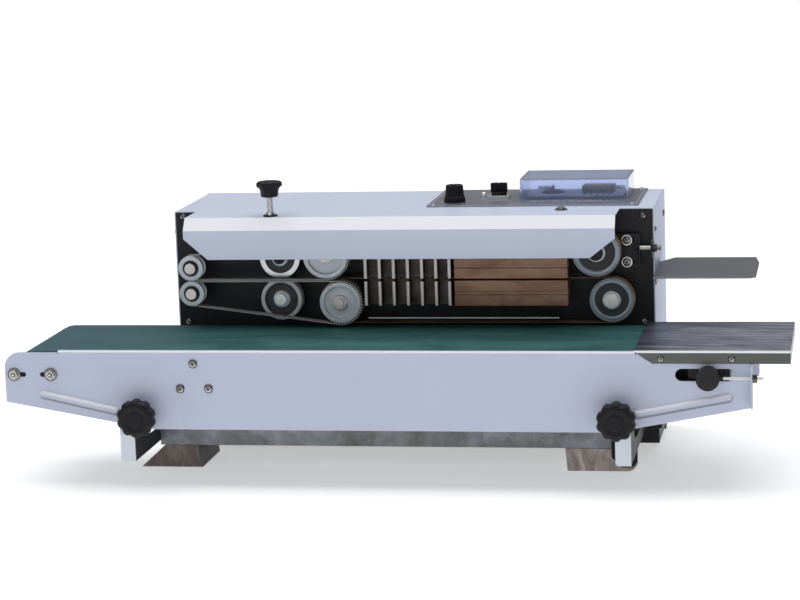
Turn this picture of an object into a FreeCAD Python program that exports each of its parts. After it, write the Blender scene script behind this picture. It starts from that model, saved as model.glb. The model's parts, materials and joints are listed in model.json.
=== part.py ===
"""Continuous band sealer: a bag-sealing head over a height-adjustable belt conveyor.

Millimetres, +Z up. The shapes are drawn from a machine datum: X from the conveyor's
left end, Y from the front face of its front plate towards the rear, Z from the ground.
save() moves them to the part's origin, the centre of the footprint on the ground.
"""
import FreeCAD
import Part
import math
import os

V = FreeCAD.Vector

# Overall
LENGTH = 833.5                 # conveyor left end to tray right end
FRONT_Y = -28.0                # front of the clamp knobs
REAR_Y = 328.4                 # rear of the power inlet
ORIGIN = V(LENGTH / 2, (FRONT_Y + REAR_Y) / 2, 0)

# Conveyor side plates
PLATE_T = 1.5
PLATE_END = 795.0
PLATE_TOP = 151.0
PLATE_LOW = 66.0
CORNER_R = 17.0                # front plate's top left corner
PLAIN_TOP = 149.0              # its top edge before the rolled lip starts
LIP_R = 3.0                    # bend of the rolled lip
REAR_PLATE_Y = 158.5
TAB_TOP = 138.7                # end tabs and the plate below the tray
TAB_LOW = 93.0
CARRIER_Z = 125.0
CARRIER_SLOTS = ((10.4, 21.0), (41.7, 51.3))
REAR_CARRIER_SLOTS = ((18.6, 23.0), (41.7, 51.3))
SLOT_R = 2.6
ROLLER_SLOT = (723.0, 770.5)
ROLLER_SLOT_R = 6.5
ROLLER_Z = 127.0
SCREW_Z = ROLLER_Z - 2         # tension screws at the right end
KNOB_X = (149.0, 657.0)
KNOB_Z = 82.0
LIFT = 15.0                    # height adjustment travel

# Conveyor belt and rollers
BELT_Y = (5.0, 155.0)
BELT_T = 1.5
GAP = 0.3                      # between a belt or band and the wheel it runs on
ROLLER_R = 20.7
LEFT_ROLLER_X = 31.0
RIGHT_ROLLER_X = 750.0
DRIVE_ROLLER = (209.0, 119.0)
DRIVE_ROLLER_R = 12.7
JOURNAL_R = 5.0
TENSION_SCREW_R = 1.5
FRONT_SCREW_Y = -7.0           # tension screws run outside the two side plates
REAR_SCREW_Y = 167.0
CLAMP_STUD_R = 4.0
RUN = 0.05                     # radial clearance of a running fit

# Infeed tray
TRAY_X = (674.6, 833.5)
TRAY_TOP = 152.0
TRAY_LOW = 138.7

# Stand
BAR_Y = (100.0, 120.0)
BAR_Z = (25.0, 48.0)
ARM_X = (138.0, 668.0)         # left faces of the two side plates
ARM_Z = (30.0, 50.0)

# Head casing
BASE_X = (143.0, 685.0)
BASE_Y = (178.0, 324.4)
BASE_Z = (13.0, 46.0)
HEAD_X = (147.4, 683.2)
HEAD_Y = (175.0, 324.4)
HEAD_TOP = 275.0
SHEET = 1.5
PANEL_T = 2.0
PANEL_STEP_Z = 141.0
COVER_X = (173.5, 646.5)
COVER_FACE_Y = 112.0
COVER_LOW = 230.0

# Sealing mechanism
SEAL_Z = 202.5
BAND_Y = (150.5, 165.5)
GUIDE_Y = (137.0, 147.0)
BAND_T = 0.5
GUIDE_T = 1.5
UPPER_X = (326.0, 622.0)
LOWER_X = (341.0, 638.0)
GUIDE_X = 174.0
NIP = 0.2                      # each band stands this far off the seal line
UPPER_WHEEL_R = 26.0
LOWER_WHEEL_R = 24.0
GUIDE_PULLEY_R = 12.2
UPPER_Z = SEAL_Z + NIP + BAND_T + GAP + UPPER_WHEEL_R
LOWER_Z = SEAL_Z - NIP - BAND_T - GAP - LOWER_WHEEL_R
UPPER_TEETH = 33
LOWER_TEETH = 30
GEAR_Y = (184.0, 192.0)
EMBOSS_X = 272.0
EMBOSS_R = 23.0
PRESS_LIFT = 3.0
COOL_X = (369.0, 465.0)
HEAT_X = (468.0, 592.0)
BLOCK_Y = (140.0, 168.0)
GUIDE_PIN_R = 2.5
FIN_PITCH = 15.6
FIN_T = 3.2
FIN_DEPTH = 16.0

# Drive chain
CHAIN_PITCH = 8.0
BIG_SPROCKET = 17
SMALL_SPROCKET = 9
SPROCKET_Y = (198.0, 201.0)

# Pressure knob, on top of the front cover
PRESSURE_X = 268.0
PRESSURE_Y = 132.0
PRESSURE_SCREW_R = 3.3
TOTAL_TOP = 313.5

# Controls on the top plate
CONTROL_X = (431.0, 665.0)
CONTROL_Y = (190.0, 322.0)
CONTROL_T = 1.5
CONTROL_TOP = HEAD_TOP + CONTROL_T
SPEED_KNOB = (458.0, 222.0)
SELECTOR = (504.0, 251.0)
LAMP = (484.0, 268.0)
BEZEL_H = 4.0                  # frame of the selector
LID_X = (530.0, 651.0)
LID_Y = (231.0, 307.0)
LID_H = 23.5
LID_HINGE = (310.4, 279.5)     # Y and Z of the hinge axis

FAN_X = 600.0
FAN_Z = 130.0
INLET_X = 214.0
INLET_Z = 85.0
INLET_DEPTH = 14.0


# ---------------------------------------------------------------- shape helpers
def box(x0, x1, y0, y1, z0, z1):
    return Part.makeBox(x1 - x0, y1 - y0, z1 - z0, V(x0, y0, z0))


def rod_x(x0, x1, y, z, r):
    return Part.makeCylinder(r, x1 - x0, V(x0, y, z), V(1, 0, 0))


def rod_y(x, z, r, y0, y1):
    return Part.makeCylinder(r, y1 - y0, V(x, y0, z), V(0, 1, 0))


def rod_z(x, y, r, z0, z1):
    return Part.makeCylinder(r, z1 - z0, V(x, y, z0), V(0, 0, 1))


def prism(points, direction):
    """Extrude the polygon through 3-D points along a vector."""
    return Part.Face(Part.makePolygon(points + points[:1])).extrude(direction)


def prism_y(outline, y0, y1):
    """Extrude an XZ outline from y0 to y1."""
    return prism([V(x, y0, z) for x, z in outline], V(0, y1 - y0, 0))


def prism_x(outline, x0, x1):
    """Extrude a YZ outline from x0 to x1."""
    return prism([V(x0, y, z) for y, z in outline], V(x1 - x0, 0, 0))


def prism_z(outline, z0, z1):
    """Extrude an XY outline from z0 to z1."""
    return prism([V(x, y, z0) for x, y in outline], V(0, 0, z1 - z0))


def fuse(shapes):
    shapes = list(shapes)
    return shapes[0].multiFuse(shapes[1:]).removeSplitter() if shapes[1:] else shapes[0]


def cut(shape, tools):
    return shape.cut(list(tools))


def slot_y(x0, x1, z, r, y0, y1):
    """Obround cutter along Y, its round ends centred at x0 and x1."""
    return fuse([rod_y(x0, z, r, y0, y1), rod_y(x1, z, r, y0, y1), box(x0, x1, y0, y1, z - r, z + r)])


def slot_z(x, z0, z1, r, y0, y1):
    """Upright obround cutter along Y, its round ends centred at z0 and z1."""
    return fuse([rod_y(x, z0, r, y0, y1), rod_y(x, z1, r, y0, y1), box(x - r, x + r, y0, y1, z0, z1)])


def loop_solid(c0, r0, c1, r1, y0, y1):
    """Solid filled by a taut belt around two circles; the second lies further along +X."""
    dx, dz = c1[0] - c0[0], c1[1] - c0[1]
    span = math.hypot(dx, dz)
    base, lean = math.atan2(dz, dx), math.acos((r0 - r1) / span)

    def at(centre, radius, angle):
        return V(centre[0] + radius * math.cos(angle), y0, centre[1] + radius * math.sin(angle))

    top, low = base + lean, base - lean
    edges = [Part.LineSegment(at(c0, r0, top), at(c1, r1, top)),
             Part.Arc(at(c1, r1, top), at(c1, r1, base), at(c1, r1, low)),
             Part.LineSegment(at(c1, r1, low), at(c0, r0, low)),
             Part.Arc(at(c0, r0, low), at(c0, r0, base + math.pi), at(c0, r0, top))]
    wire = Part.Wire([edge.toShape() for edge in edges])
    return Part.Face(wire).extrude(V(0, y1 - y0, 0))


def loop_belt(c0, r0, c1, r1, thickness, y0, y1):
    """Belt of the given thickness around two circles of inner radii r0 and r1."""
    outer = loop_solid(c0, r0 + thickness, c1, r1 + thickness, y0, y1)
    return outer.cut(loop_solid(c0, r0, c1, r1, y0 - 1, y1 + 1))


def dome_screw(x, z, y, r, height, shank_r=0, shank_l=0):
    """Round-headed screw seated on a face at y, its head towards the front."""
    ball = (r * r + height * height) / (2 * height)
    head = Part.makeSphere(ball, V(x, y - height + ball, z)).common(rod_y(x, z, r + 1, y - height, y))
    return head.fuse(rod_y(x, z, shank_r, y, y + shank_l)) if shank_l else head


def hexagon_x(x0, x1, y, z, r):
    """Hexagonal nut along X."""
    corners = [(y + r * math.cos(math.pi * k / 3), z + r * math.sin(math.pi * k / 3)) for k in range(6)]
    return prism_x(corners, x0, x1)


def lobed(radius, depth, lobes, height):
    """Knob body along +Z with scalloped sides, its lower face at the origin."""
    body = Part.makeCylinder(radius, height)
    scallop = depth * 2.6
    away = radius - depth + scallop
    for k in range(lobes):
        angle = 2 * math.pi * (k + 0.5) / lobes
        body = body.cut(Part.makeCylinder(scallop, height + 2,
                                          V(away * math.cos(angle), away * math.sin(angle), -1)))
    return body


def involute_gear(centre, teeth, module, phase, y0, y1, bore):
    """Spur gear along Y with one tooth centred at the phase angle."""
    pitch_r = module * teeth / 2
    base_r = pitch_r * math.cos(math.radians(20))
    root_r, tip_r = pitch_r - 1.25 * module, pitch_r + 0.95 * module
    backlash = 0.12 / pitch_r

    def roll(radius):
        return math.sqrt(max(radius * radius / (base_r * base_r) - 1, 0))

    def half_width(radius):
        turn = roll(radius)
        turn_pitch = roll(pitch_r)
        spread = (turn - math.atan(turn)) - (turn_pitch - math.atan(turn_pitch))
        return math.pi / (2 * teeth) - backlash - spread

    start_r = max(base_r, root_r)
    flank = [start_r + (tip_r - start_r) * k / 3 for k in range(4)]
    outline = []
    for tooth in range(teeth):
        middle = phase + 2 * math.pi * tooth / teeth
        sides = [(root_r, -half_width(start_r))] + [(r, -half_width(r)) for r in flank]
        sides += [(r, -angle) for r, angle in reversed(sides)]
        outline += [(centre[0] + r * math.cos(middle + angle), centre[1] + r * math.sin(middle + angle))
                    for r, angle in sides]
    return prism_y(outline, y0, y1).cut(rod_y(centre[0], centre[1], bore, y0 - 1, y1 + 1))


def sprocket_radius(teeth):
    return CHAIN_PITCH / (2 * math.sin(math.pi / teeth))


def sprocket(x, z, teeth, y0, y1):
    """Roller-chain sprocket: a disk with round seats at the pitch circle."""
    pitch_r = sprocket_radius(teeth)
    disk = rod_y(x, z, pitch_r + 1.6, y0, y1)
    seats = [rod_y(x + pitch_r * math.cos(2 * math.pi * k / teeth),
                   z + pitch_r * math.sin(2 * math.pi * k / teeth), 2.7, y0 - 1, y1 + 1)
             for k in range(teeth)]
    return cut(disk, seats)


def save(node, shape):
    """Write one node, moved from the machine datum to the part's origin."""
    placed = shape.copy()
    placed.translate(V(-ORIGIN.x, -ORIGIN.y, -ORIGIN.z))
    placed.exportStep("parts/" + node + ".step")


# ---------------------------------------------------------------- conveyor
def side_outline():
    """XZ outline of a conveyor side plate, without its rounded corner."""
    return [(0, 95), (160, PLATE_LOW), (650, PLATE_LOW), (PLATE_END, TAB_LOW), (PLATE_END, TAB_TOP),
            (693.5, TAB_TOP), (675, PLATE_TOP), (0, PLATE_TOP)]


def adjusting_slots(carrier_slots, y0, y1):
    """Cutters for the left carrier's slots and the right roller's window."""
    slots = [slot_y(x0, x1, CARRIER_Z, SLOT_R, y0 - 1, y1 + 1) for x0, x1 in carrier_slots]
    return slots + [slot_y(*ROLLER_SLOT, ROLLER_Z, ROLLER_SLOT_R, y0 - 1, y1 + 1)]


def pressed_rib(x0, z0, x1, z1):
    """Half-round stiffening rib standing out of the front face."""
    radius, stand = 5.2, 3.6
    run = V(x1 - x0, 0, z1 - z0)
    bar = Part.makeCylinder(radius, run.Length, V(x0, radius - stand, z0), run)
    ends = [Part.makeSphere(radius, V(x, radius - stand, z)) for x, z in ((x0, z0), (x1, z1))]
    return fuse([bar] + ends).common(box(x0 - 10, x1 + 10, -stand, 0, z0 - 40, z0 + 40))


def end_tab(y0, y1, screw_y):
    """Tab bent square at the right end of a side plate, bored for the tension screw."""
    tab = box(PLATE_END - PLATE_T, PLATE_END, y0, y1, TAB_LOW, TAB_TOP)
    return tab.cut(rod_x(PLATE_END - 3, PLATE_END + 1, screw_y, SCREW_Z, TENSION_SCREW_R + 2 * RUN))


def conveyor_front_plate():
    """Front plate with a rounded corner, a rolled top lip, ribs, slots and its end tab."""
    lip_x = (60, 676)
    lip = box(*lip_x, 0, LIP_R + PLATE_T, PLATE_TOP - LIP_R, PLATE_TOP)
    lip = lip.cut(box(lip_x[0] - 1, lip_x[1] + 1, LIP_R, 6, PLATE_TOP - LIP_R - 1, PLATE_TOP - PLATE_T))
    sharp = box(lip_x[0] - 1, lip_x[1] + 1, -1, LIP_R, PLATE_TOP - LIP_R, PLATE_TOP + 1)
    lip = lip.cut(sharp.cut(rod_x(lip_x[0] - 2, lip_x[1] + 2, LIP_R, PLATE_TOP - LIP_R, LIP_R)))
    plate = prism_y(side_outline(), 0, PLATE_T).cut(sharp).fuse(lip)
    plate = fuse([plate, end_tab(-11, 0, FRONT_SCREW_Y), pressed_rib(42, 103, 121, 85.5),
                  pressed_rib(678, 85.2, 770, 103)])
    centre_z = PLAIN_TOP - CORNER_R
    corner = box(-1, CORNER_R, -1, 3, centre_z, PLATE_TOP + 1).cut(rod_y(CORNER_R, centre_z, CORNER_R, -2, 4))
    plain = box(CORNER_R - 1, lip_x[0], -1, 3, PLAIN_TOP, PLATE_TOP + 1)
    holes = [rod_y(x, KNOB_Z, CLAMP_STUD_R + 2 * RUN, -1, 3) for x in KNOB_X]
    return cut(plate, [corner, plain] + adjusting_slots(CARRIER_SLOTS, 0, PLATE_T) + holes)


def conveyor_rear_plate():
    """Rear plate, rounded at the left about the roller and kept just below the belt."""
    y0, y1 = REAR_PLATE_Y, REAR_PLATE_Y + PLATE_T
    plate = prism_y(side_outline(), y0, y1)
    nose_r = ROLLER_R
    beyond = box(-1, LEFT_ROLLER_X, y0 - 1, y1 + 1, 60, PLATE_TOP + 1)
    beyond = cut(beyond, [rod_y(LEFT_ROLLER_X, ROLLER_Z, nose_r, y0 - 2, y1 + 2),
                          box(LEFT_ROLLER_X - nose_r, LEFT_ROLLER_X + 1, y0 - 2, y1 + 2, 59, ROLLER_Z)])
    top = box(-1, PLATE_END, y0 - 1, y1 + 1, PLATE_TOP - 3, PLATE_TOP + 1)
    bearing = rod_y(*DRIVE_ROLLER, 8, y0 - 1, y1 + 1)
    plate = cut(plate, [beyond, top, bearing] + adjusting_slots(REAR_CARRIER_SLOTS, y0, y1))
    return fuse([plate, end_tab(y0, 174, REAR_SCREW_Y)])


def slider_bed():
    """Folded sheet under the carrying run, fixed between the side plates."""
    bed_top = ROLLER_Z + ROLLER_R + GAP * 2 - 0.6
    top = box(58, 720, PLATE_T, REAR_PLATE_Y, bed_top - 1.5, bed_top)
    flanges = [box(58, 720, y, y + 1.5, bed_top - 6, bed_top) for y in (PLATE_T, REAR_PLATE_Y - 1.5)]
    stays = [box(x, x + 14, PLATE_T, REAR_PLATE_Y, bed_top - 14, bed_top - 1.5) for x in (300, 500)]
    return fuse([top] + flanges + stays)


def conveyor_belt():
    ends = (LEFT_ROLLER_X, ROLLER_Z), (RIGHT_ROLLER_X, ROLLER_Z)
    inner = ROLLER_R + GAP
    return loop_belt(ends[0], inner, ends[1], inner, BELT_T, *BELT_Y)


def infeed_tray():
    """Stainless tray with turned-down edges; its front edge starts with a diagonal cut."""
    x0, x1 = TRAY_X
    sheet = 1.0
    top = box(x0, x1, -sheet, 161, TRAY_TOP - sheet, TRAY_TOP)
    front = prism_y([(x0, TRAY_TOP), (x0 + 21, TRAY_LOW), (x1, TRAY_LOW), (x1, TRAY_TOP)], -sheet, 0)
    rear = prism_y([(x0, TRAY_TOP), (x0 + 21, TRAY_LOW), (x1, TRAY_LOW), (x1, TRAY_TOP)], 160, 161)
    end = box(x1 - sheet, x1, -sheet, 161, TRAY_LOW, TRAY_TOP)
    return fuse([top, front, rear, end])


def roller(x, z, r, y0, y1, wall, shaft0, shaft1):
    """Tube with end disks and a through journal."""
    tube = rod_y(x, z, r, y0, y1).cut(rod_y(x, z, r - wall, y0 + 4, y1 - 4))
    return fuse([tube, rod_y(x, z, JOURNAL_R, shaft0, shaft1)])


def drive_roller():
    x, z = DRIVE_ROLLER
    return fuse([roller(x, z, DRIVE_ROLLER_R, 8, 152, 3, 2.2, 204),
                 sprocket(x, z, SMALL_SPROCKET, *SPROCKET_Y)])


def conveyor_brackets():
    """Left roller carriers and the drive roller's flanged bearings."""
    solids = []
    for x0, y0 in ((5, PLATE_T), (12.6, REAR_PLATE_Y - 3)):
        solids.append(box(x0, 57, y0, y0 + 3, 115, 139).cut(
            rod_y(LEFT_ROLLER_X, ROLLER_Z, JOURNAL_R + RUN, y0 - 1, y0 + 4)))
    x, z = DRIVE_ROLLER
    for y0, y1 in ((PLATE_T, 7.0), (REAR_PLATE_Y + PLATE_T, 165.0)):
        flange = fuse([rod_y(x, z, 22, y0, y0 + 2.5), rod_y(x, z, 9, y0, y1)])
        solids.append(flange.cut(rod_y(x, z, JOURNAL_R + RUN, y0 - 1, y1 + 1)))
    return Part.makeCompound(solids)


def washer_screw(x, z, sign, face_y):
    """Cap screw with a washer, outside a side plate; sign is the outward direction."""
    def span(near, far):
        return sorted((face_y + sign * near, face_y + sign * far))
    washer = rod_y(x, z, 7.3 if sign < 0 else 6.6, *span(0, 1.2))
    nut = rod_y(x, z, 4.6, *span(1.2, 5.0)).cut(rod_y(x, z, 2.2, *span(3.2, 5.1)))
    return fuse([washer, nut, rod_y(x, z, 2.4, *span(-1.5, 1.2))])


def conveyor_screws():
    """Roller-carrier screws, bearing screws, tray screws, clamp bolts and tension nuts."""
    solids = []
    for x in (CARRIER_SLOTS[0][0], CARRIER_SLOTS[1][1]):
        solids.append(washer_screw(x, CARRIER_Z, -1, 0))
    for x in (REAR_CARRIER_SLOTS[0][0], REAR_CARRIER_SLOTS[1][1]):
        solids.append(washer_screw(x, CARRIER_Z, 1, REAR_PLATE_Y + PLATE_T))
    for x, z in ((208.7, 137.1), (193.6, 110.2), (224.5, 110.3)):
        solids.append(dome_screw(x, z, 0, 4.8, 2.8))
    for x in (702, 774.2):
        solids.append(dome_screw(x, 143.8, -1, 3.5, 2.2))
    for x in KNOB_X:
        stud = fuse([rod_y(x, KNOB_Z, CLAMP_STUD_R, -18, 4.3), rod_y(x, KNOB_Z, 8.0, 4.3, 9)])
        solids.append(stud)
    for y in (FRONT_SCREW_Y, REAR_SCREW_Y):
        solids.append(hexagon_x(PLATE_END, PLATE_END + 5, y, SCREW_Z, 4.6).cut(
            rod_x(PLATE_END - 1, PLATE_END + 6, y, SCREW_Z, TENSION_SCREW_R + RUN)))
    return Part.makeCompound(solids)


def tension_block():
    """Sliding bearing of the right roller at each side, with its tension screw."""
    solids = []
    x = RIGHT_ROLLER_X
    for sign, y_plate, y_screw in ((-1, 0.0, FRONT_SCREW_Y), (1, REAR_PLATE_Y + PLATE_T, REAR_SCREW_Y)):
        def span(near, far):
            return sorted((y_plate + sign * near, y_plate + sign * far))
        knob = rod_y(x, SCREW_Z, 12, *span(0.3, 13.5))
        neck = box(x - 9, x + 9, *span(-4.8, 0.3), ROLLER_Z - 6, ROLLER_Z + 6)
        slide = box(x - 13, x + 15, *span(-4.8, -1.8), ROLLER_Z - 15, ROLLER_Z + 15)
        screw = rod_x(x + 5, PLATE_END + 11, y_screw, SCREW_Z, TENSION_SCREW_R)
        bore = rod_y(x, ROLLER_Z, JOURNAL_R + RUN, *span(-6, 8))
        solids.append(fuse([knob, neck, slide, screw]).cut(bore))
    return Part.makeCompound(solids)


def clamp_knob(x):
    """Ten-lobed hand knob on a conveyor clamp bolt."""
    grip = lobed(20.5, 1.7, 10, 17)
    grip = grip.fuse(Part.makeCylinder(10, 11, V(0, 0, -11)))
    rim = Part.makeCylinder(23, 4, V(0, 0, 14)).cut(
        Part.makeCone(21.0, 17.6, 3.2, V(0, 0, 13.9)))
    grip = grip.cut(rim)
    bore = Part.makeCylinder(CLAMP_STUD_R + RUN, 19, V(0, 0, -12))
    dish = Part.makeSphere(40, V(0, 0, 17 + 38.6))
    knob = grip.cut(bore).cut(dish)
    knob.rotate(V(0, 0, 0), V(1, 0, 0), 90)
    knob.translate(V(x, FRONT_Y + 17, KNOB_Z))
    return knob


# ---------------------------------------------------------------- stand
def support_uprights():
    """Slotted uprights that the conveyor is clamped to, with a narrow tail below it."""
    tails = ((124.0, 140.0), (653.5, 670.0))
    solids = []
    for x, (tail0, tail1) in zip(KNOB_X, tails):
        wide = box(min(x - 11, tail0), max(x + 9, tail1), 2, 4, 62, 118)
        tail = prism_y([(tail0, 66), (tail0, 32), (tail0 + 2, 30), (tail1, 30), (tail1, 66)], 2, 4)
        slot = slot_z(x, KNOB_Z - LIFT, KNOB_Z, 4.2, 1, 5)
        solids.append(cut(fuse([wide, tail]), [slot]))
    return Part.makeCompound(solids)


def support_arms():
    """Side plates that carry the uprights and tie them to the base, with their end tabs."""
    solids = []
    for x in ARM_X:
        z0, z1 = ARM_Z
        web = prism_x([(4, z0), (BASE_Y[0], z0), (BASE_Y[0], z1 - 4), (70, z1 - 4), (45, z1), (30, 86),
                       (4, 86)], x, x + 2)
        front_tab = box(x - 13, x, 4, 5.5, z0, z1)
        rear_tab = box(x, x + 20, BASE_Y[0] - 1.5, BASE_Y[0], z0, z1 - 4)
        solids.append(fuse([web, front_tab, rear_tab]))
    return Part.makeCompound(solids)


def cross_bar():
    tube = box(ARM_X[0] + 2, ARM_X[1], *BAR_Y, *BAR_Z)
    return tube.cut(box(ARM_X[0] + 1, ARM_X[1] + 1, BAR_Y[0] + 1.5, BAR_Y[1] - 1.5,
                        BAR_Z[0] + 1.5, BAR_Z[1] - 1.5))


def bar_end_block():
    """Moulded end block on the front of the cross bar, chamfered and rounded below."""
    x0, x1 = ARM_X[1] - 27.5, ARM_X[1]
    outline = [(x0 + 11, 6), (x1, 6), (x1, 50), (x0, 50), (x0, 17)]
    block = prism_y(outline, BAR_Y[0] - 8, BAR_Y[0])
    corner = box(x1 - 9, x1 + 1, BAR_Y[0] - 9, BAR_Y[0] + 1, 5, 15)
    return block.cut(corner.cut(rod_y(x1 - 9, 15, 9, BAR_Y[0] - 10, BAR_Y[0] + 2)))


def front_feet():
    """Folded feet below the cross bar: a face, a long side rail and a top flange."""
    y0 = BAR_Y[0]
    solids = []
    left_face = prism_y([(117, 0), (187, 0), (183, 25), (145, 25)], y0, y0 + 1.5)
    left_rail = prism_y([(185.5, 0), (187, 0), (183, 25), (181.5, 25)], y0, BASE_Y[0] - 2)
    left_top = box(145, 182.5, y0, BAR_Y[1], 23.5, 25)
    solids.append(fuse([left_face, left_rail, left_top]))
    right_face = prism_y([(592, 0), (668, 0), (668, 12), (654, 25), (590, 25)], y0, y0 + 1.5)
    corner = box(656, 669, y0 - 1, y0 + 3, -1, 12).cut(rod_y(656, 12, 12, y0 - 2, y0 + 4))
    right_rail = prism_y([(592, 0), (593.5, 0), (591.5, 25), (590, 25)], y0, BASE_Y[0] - 2)
    right_top = box(590.5, 654, y0, BAR_Y[1], 23.5, 25)
    solids.append(fuse([right_face.cut(corner), right_rail, right_top]))
    return Part.makeCompound(solids)


def base_tray():
    """Pan under the casing with inward rims and vent slots."""
    pan = box(*BASE_X, *BASE_Y, *BASE_Z)
    wall = 1.5
    hollow = box(BASE_X[0] + wall, BASE_X[1] - wall, BASE_Y[0] + wall, BASE_Y[1] - wall,
                 BASE_Z[0] + wall, BASE_Z[1] - wall)
    mouth = box(BASE_X[0] + 22, BASE_X[1] - 22, BASE_Y[0] + 12, BASE_Y[1] - 12, 40, 50)
    vents = [box(x, x + 40, 240, 244, 10, 20) for x in range(220, 600, 60)]
    return cut(pan, [hollow, mouth] + vents)


def rubber_feet():
    """Two feet under the rear of the pan; its front rests on the folded front feet."""
    y = BASE_Y[1] - 18
    return Part.makeCompound([Part.makeCone(4.8, 6, BASE_Z[0], V(x, y, 0))
                              for x in (BASE_X[0] + 7, BASE_X[1] - 7)])


# ---------------------------------------------------------------- casing
def housing():
    """White casing: a folded top and two sides, open at the front and rear."""
    outer = box(*HEAD_X, *HEAD_Y, BASE_Z[1], HEAD_TOP)
    outer = outer.makeFillet(2.5, [e for e in outer.Edges
                                   if abs(e.CenterOfMass.z - HEAD_TOP) < 0.1
                                   and abs(e.CenterOfMass.y - sum(HEAD_Y) / 2) < 0.1])
    inside = box(HEAD_X[0] + SHEET, HEAD_X[1] - SHEET, HEAD_Y[0] - 1, HEAD_Y[1] + 1,
                 BASE_Z[1] - 1, HEAD_TOP - SHEET)
    holes = [rod_z(*SPEED_KNOB, 9, 270, 280), box(SELECTOR[0] - 12, SELECTOR[0] + 12, SELECTOR[1] - 12,
             SELECTOR[1] + 12, 270, 280), rod_z(*LAMP, 5, 270, 280), box(541, 640, 247, 296, 270, 280)]
    return cut(outer, [inside] + holes)


def rear_cover():
    """Rear sheet with louvre slots, the fan's grille slots and the inlet cut-out."""
    y0, y1 = HEAD_Y[1], HEAD_Y[1] + SHEET
    sheet = box(*HEAD_X, y0, y1, BASE_Z[1], HEAD_TOP)
    cuts = [slot_z(x, 190, 235, 2, y0 - 1, y1 + 1) for x in range(200, 500, 12)]
    for k in range(-4, 5):
        half = math.sqrt(36 ** 2 - (8 * k) ** 2) - 3
        for x0, x1 in ((FAN_X - half, FAN_X - 4), (FAN_X + 4, FAN_X + half)):
            if x1 - x0 > 3:
                cuts.append(slot_y(x0, x1, FAN_Z + 8 * k, 2.2, y0 - 1, y1 + 1))
    cuts.append(box(INLET_X - 13.8, INLET_X + 13.8, y0 - 1, y1 + 1, INLET_Z - 10, INLET_Z + 10))
    return cut(sheet, cuts)


def shaft_points():
    """XZ positions of the shafts that pass through the mechanism panel."""
    return [(UPPER_X[0], UPPER_Z), (LOWER_X[0], LOWER_Z)]


def mechanism_panel():
    """Black front panel, stepped back behind the conveyor, with three bent tabs."""
    x0, x1 = HEAD_X[0] + SHEET, HEAD_X[1] - SHEET
    y0 = HEAD_Y[0]
    top = HEAD_TOP - SHEET
    main = box(x0, x1, y0, y0 + PANEL_T, PANEL_STEP_Z, top)
    shelf = box(x0, x1, y0, y0 + 5, PANEL_STEP_Z, PANEL_STEP_Z + PANEL_T)
    lower = box(x0, x1, y0 + 3, y0 + 5, BASE_Z[1], PANEL_STEP_Z + PANEL_T)
    cover_tab = box(556, 612, 150, y0, 271.4, 273.4)
    knob_tab = box(248, 288, 125, y0, 271.4, 273.4)
    nut_tab = box(x1 - 1.5, x1, 160, y0, 222, 242)
    panel = fuse([main, shelf, lower, cover_tab, knob_tab, nut_tab])
    holes = [rod_y(x, z, 7, y0 - 1, y0 + 9) for x, z in shaft_points()]
    holes += [slot_z(DRIVE_ROLLER[0], DRIVE_ROLLER[1] - LIFT, DRIVE_ROLLER[1], 8, y0 - 1, y0 + 9),
              rod_z(584, 162, 3.05, 270, 275),
              rod_z(PRESSURE_X, PRESSURE_Y, PRESSURE_SCREW_R + RUN, 270, 275),
              rod_x(x1 - 3, x1 + 2, 168, UPPER_Z + 2.5, 2.5 + RUN * 2)]
    return cut(panel, holes)


def front_cover():
    """White cover over the mechanism: flange, bevel and face, with cut lower corners."""
    y_back = HEAD_Y[0] - 0.2
    t = 1.2
    top = HEAD_TOP
    outside = [(y_back, top), (122, top), (COVER_FACE_Y, top - 13), (COVER_FACE_Y, COVER_LOW)]
    inside = [(COVER_FACE_Y + t, COVER_LOW), (COVER_FACE_Y + t, top - 13.4), (122.6, top - t),
              (y_back, top - t)]
    cover = prism_x(outside + inside, *COVER_X)
    x0, x1 = COVER_X
    left = prism_y([(x0 - 1, 254), (x0 - 1, 229), (x0 + 26.5, 229), (x0 + 26.5, 230), (x0, 253)], 100, 130)
    right = prism_y([(x1 + 1, 252), (x1 + 1, 228), (x1 - 28.5, 228), (x1 - 28.5, 229), (x1, 251)], 100, 130)
    holes = [rod_z(584, 162, 3.1, 270, 280), rod_z(PRESSURE_X, PRESSURE_Y, PRESSURE_SCREW_R + 0.4, 270, 280)]
    return cut(cover, [left, right] + holes)


def panel_screws():
    """Pan-head screws of the panel and casing, plate guide screws, cover bolt and lock nut."""
    y0 = HEAD_Y[0]
    solids = [dome_screw(x, z, y0, 3.6, 2.4)
              for x, z in ((157.5, 269), (671, 266), (158.5, 150), (671, 150))]
    for z in (UPPER_Z + 11.5, UPPER_Z - 12.5):
        solids.append(fuse([dome_screw(654, z, 164.9, 4.6, 2.6, 2.5, 1), rod_y(654, z, 6, 164.9, 166.2),
                            rod_y(654, z, 2.5, 165, 170), rod_y(654, z, 5, 169.8, y0)]))
    for y, z, r in ((300, 251, 3.6), (181, 251, 2.4), (300, 66, 3.6), (190, 66, 3.6)):
        for x, sign in ((HEAD_X[1], 1), (HEAD_X[0], -1)):
            head = dome_screw(0, 0, 0, r, 2.2)
            head.rotate(V(0, 0, 0), V(0, 0, 1), 90 * sign)
            head.translate(V(x, y, z))
            solids.append(head)
    solids.append(fuse([rod_z(584, 162, 7, HEAD_TOP, HEAD_TOP + 1.2),
                        rod_z(584, 162, 3, 266, HEAD_TOP + 1),
                        Part.makeCone(4.8, 3.6, 2.6, V(584, 162, HEAD_TOP + 1.2))]))
    solids.append(hexagon_x(HEAD_X[1] - SHEET, HEAD_X[1] + 3.5, 168, UPPER_Z + 2.5, 4.6).cut(
        rod_x(HEAD_X[1] - 3, HEAD_X[1] + 5, 168, UPPER_Z + 2.5, 2.5 + RUN)))
    return Part.makeCompound(solids)


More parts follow.
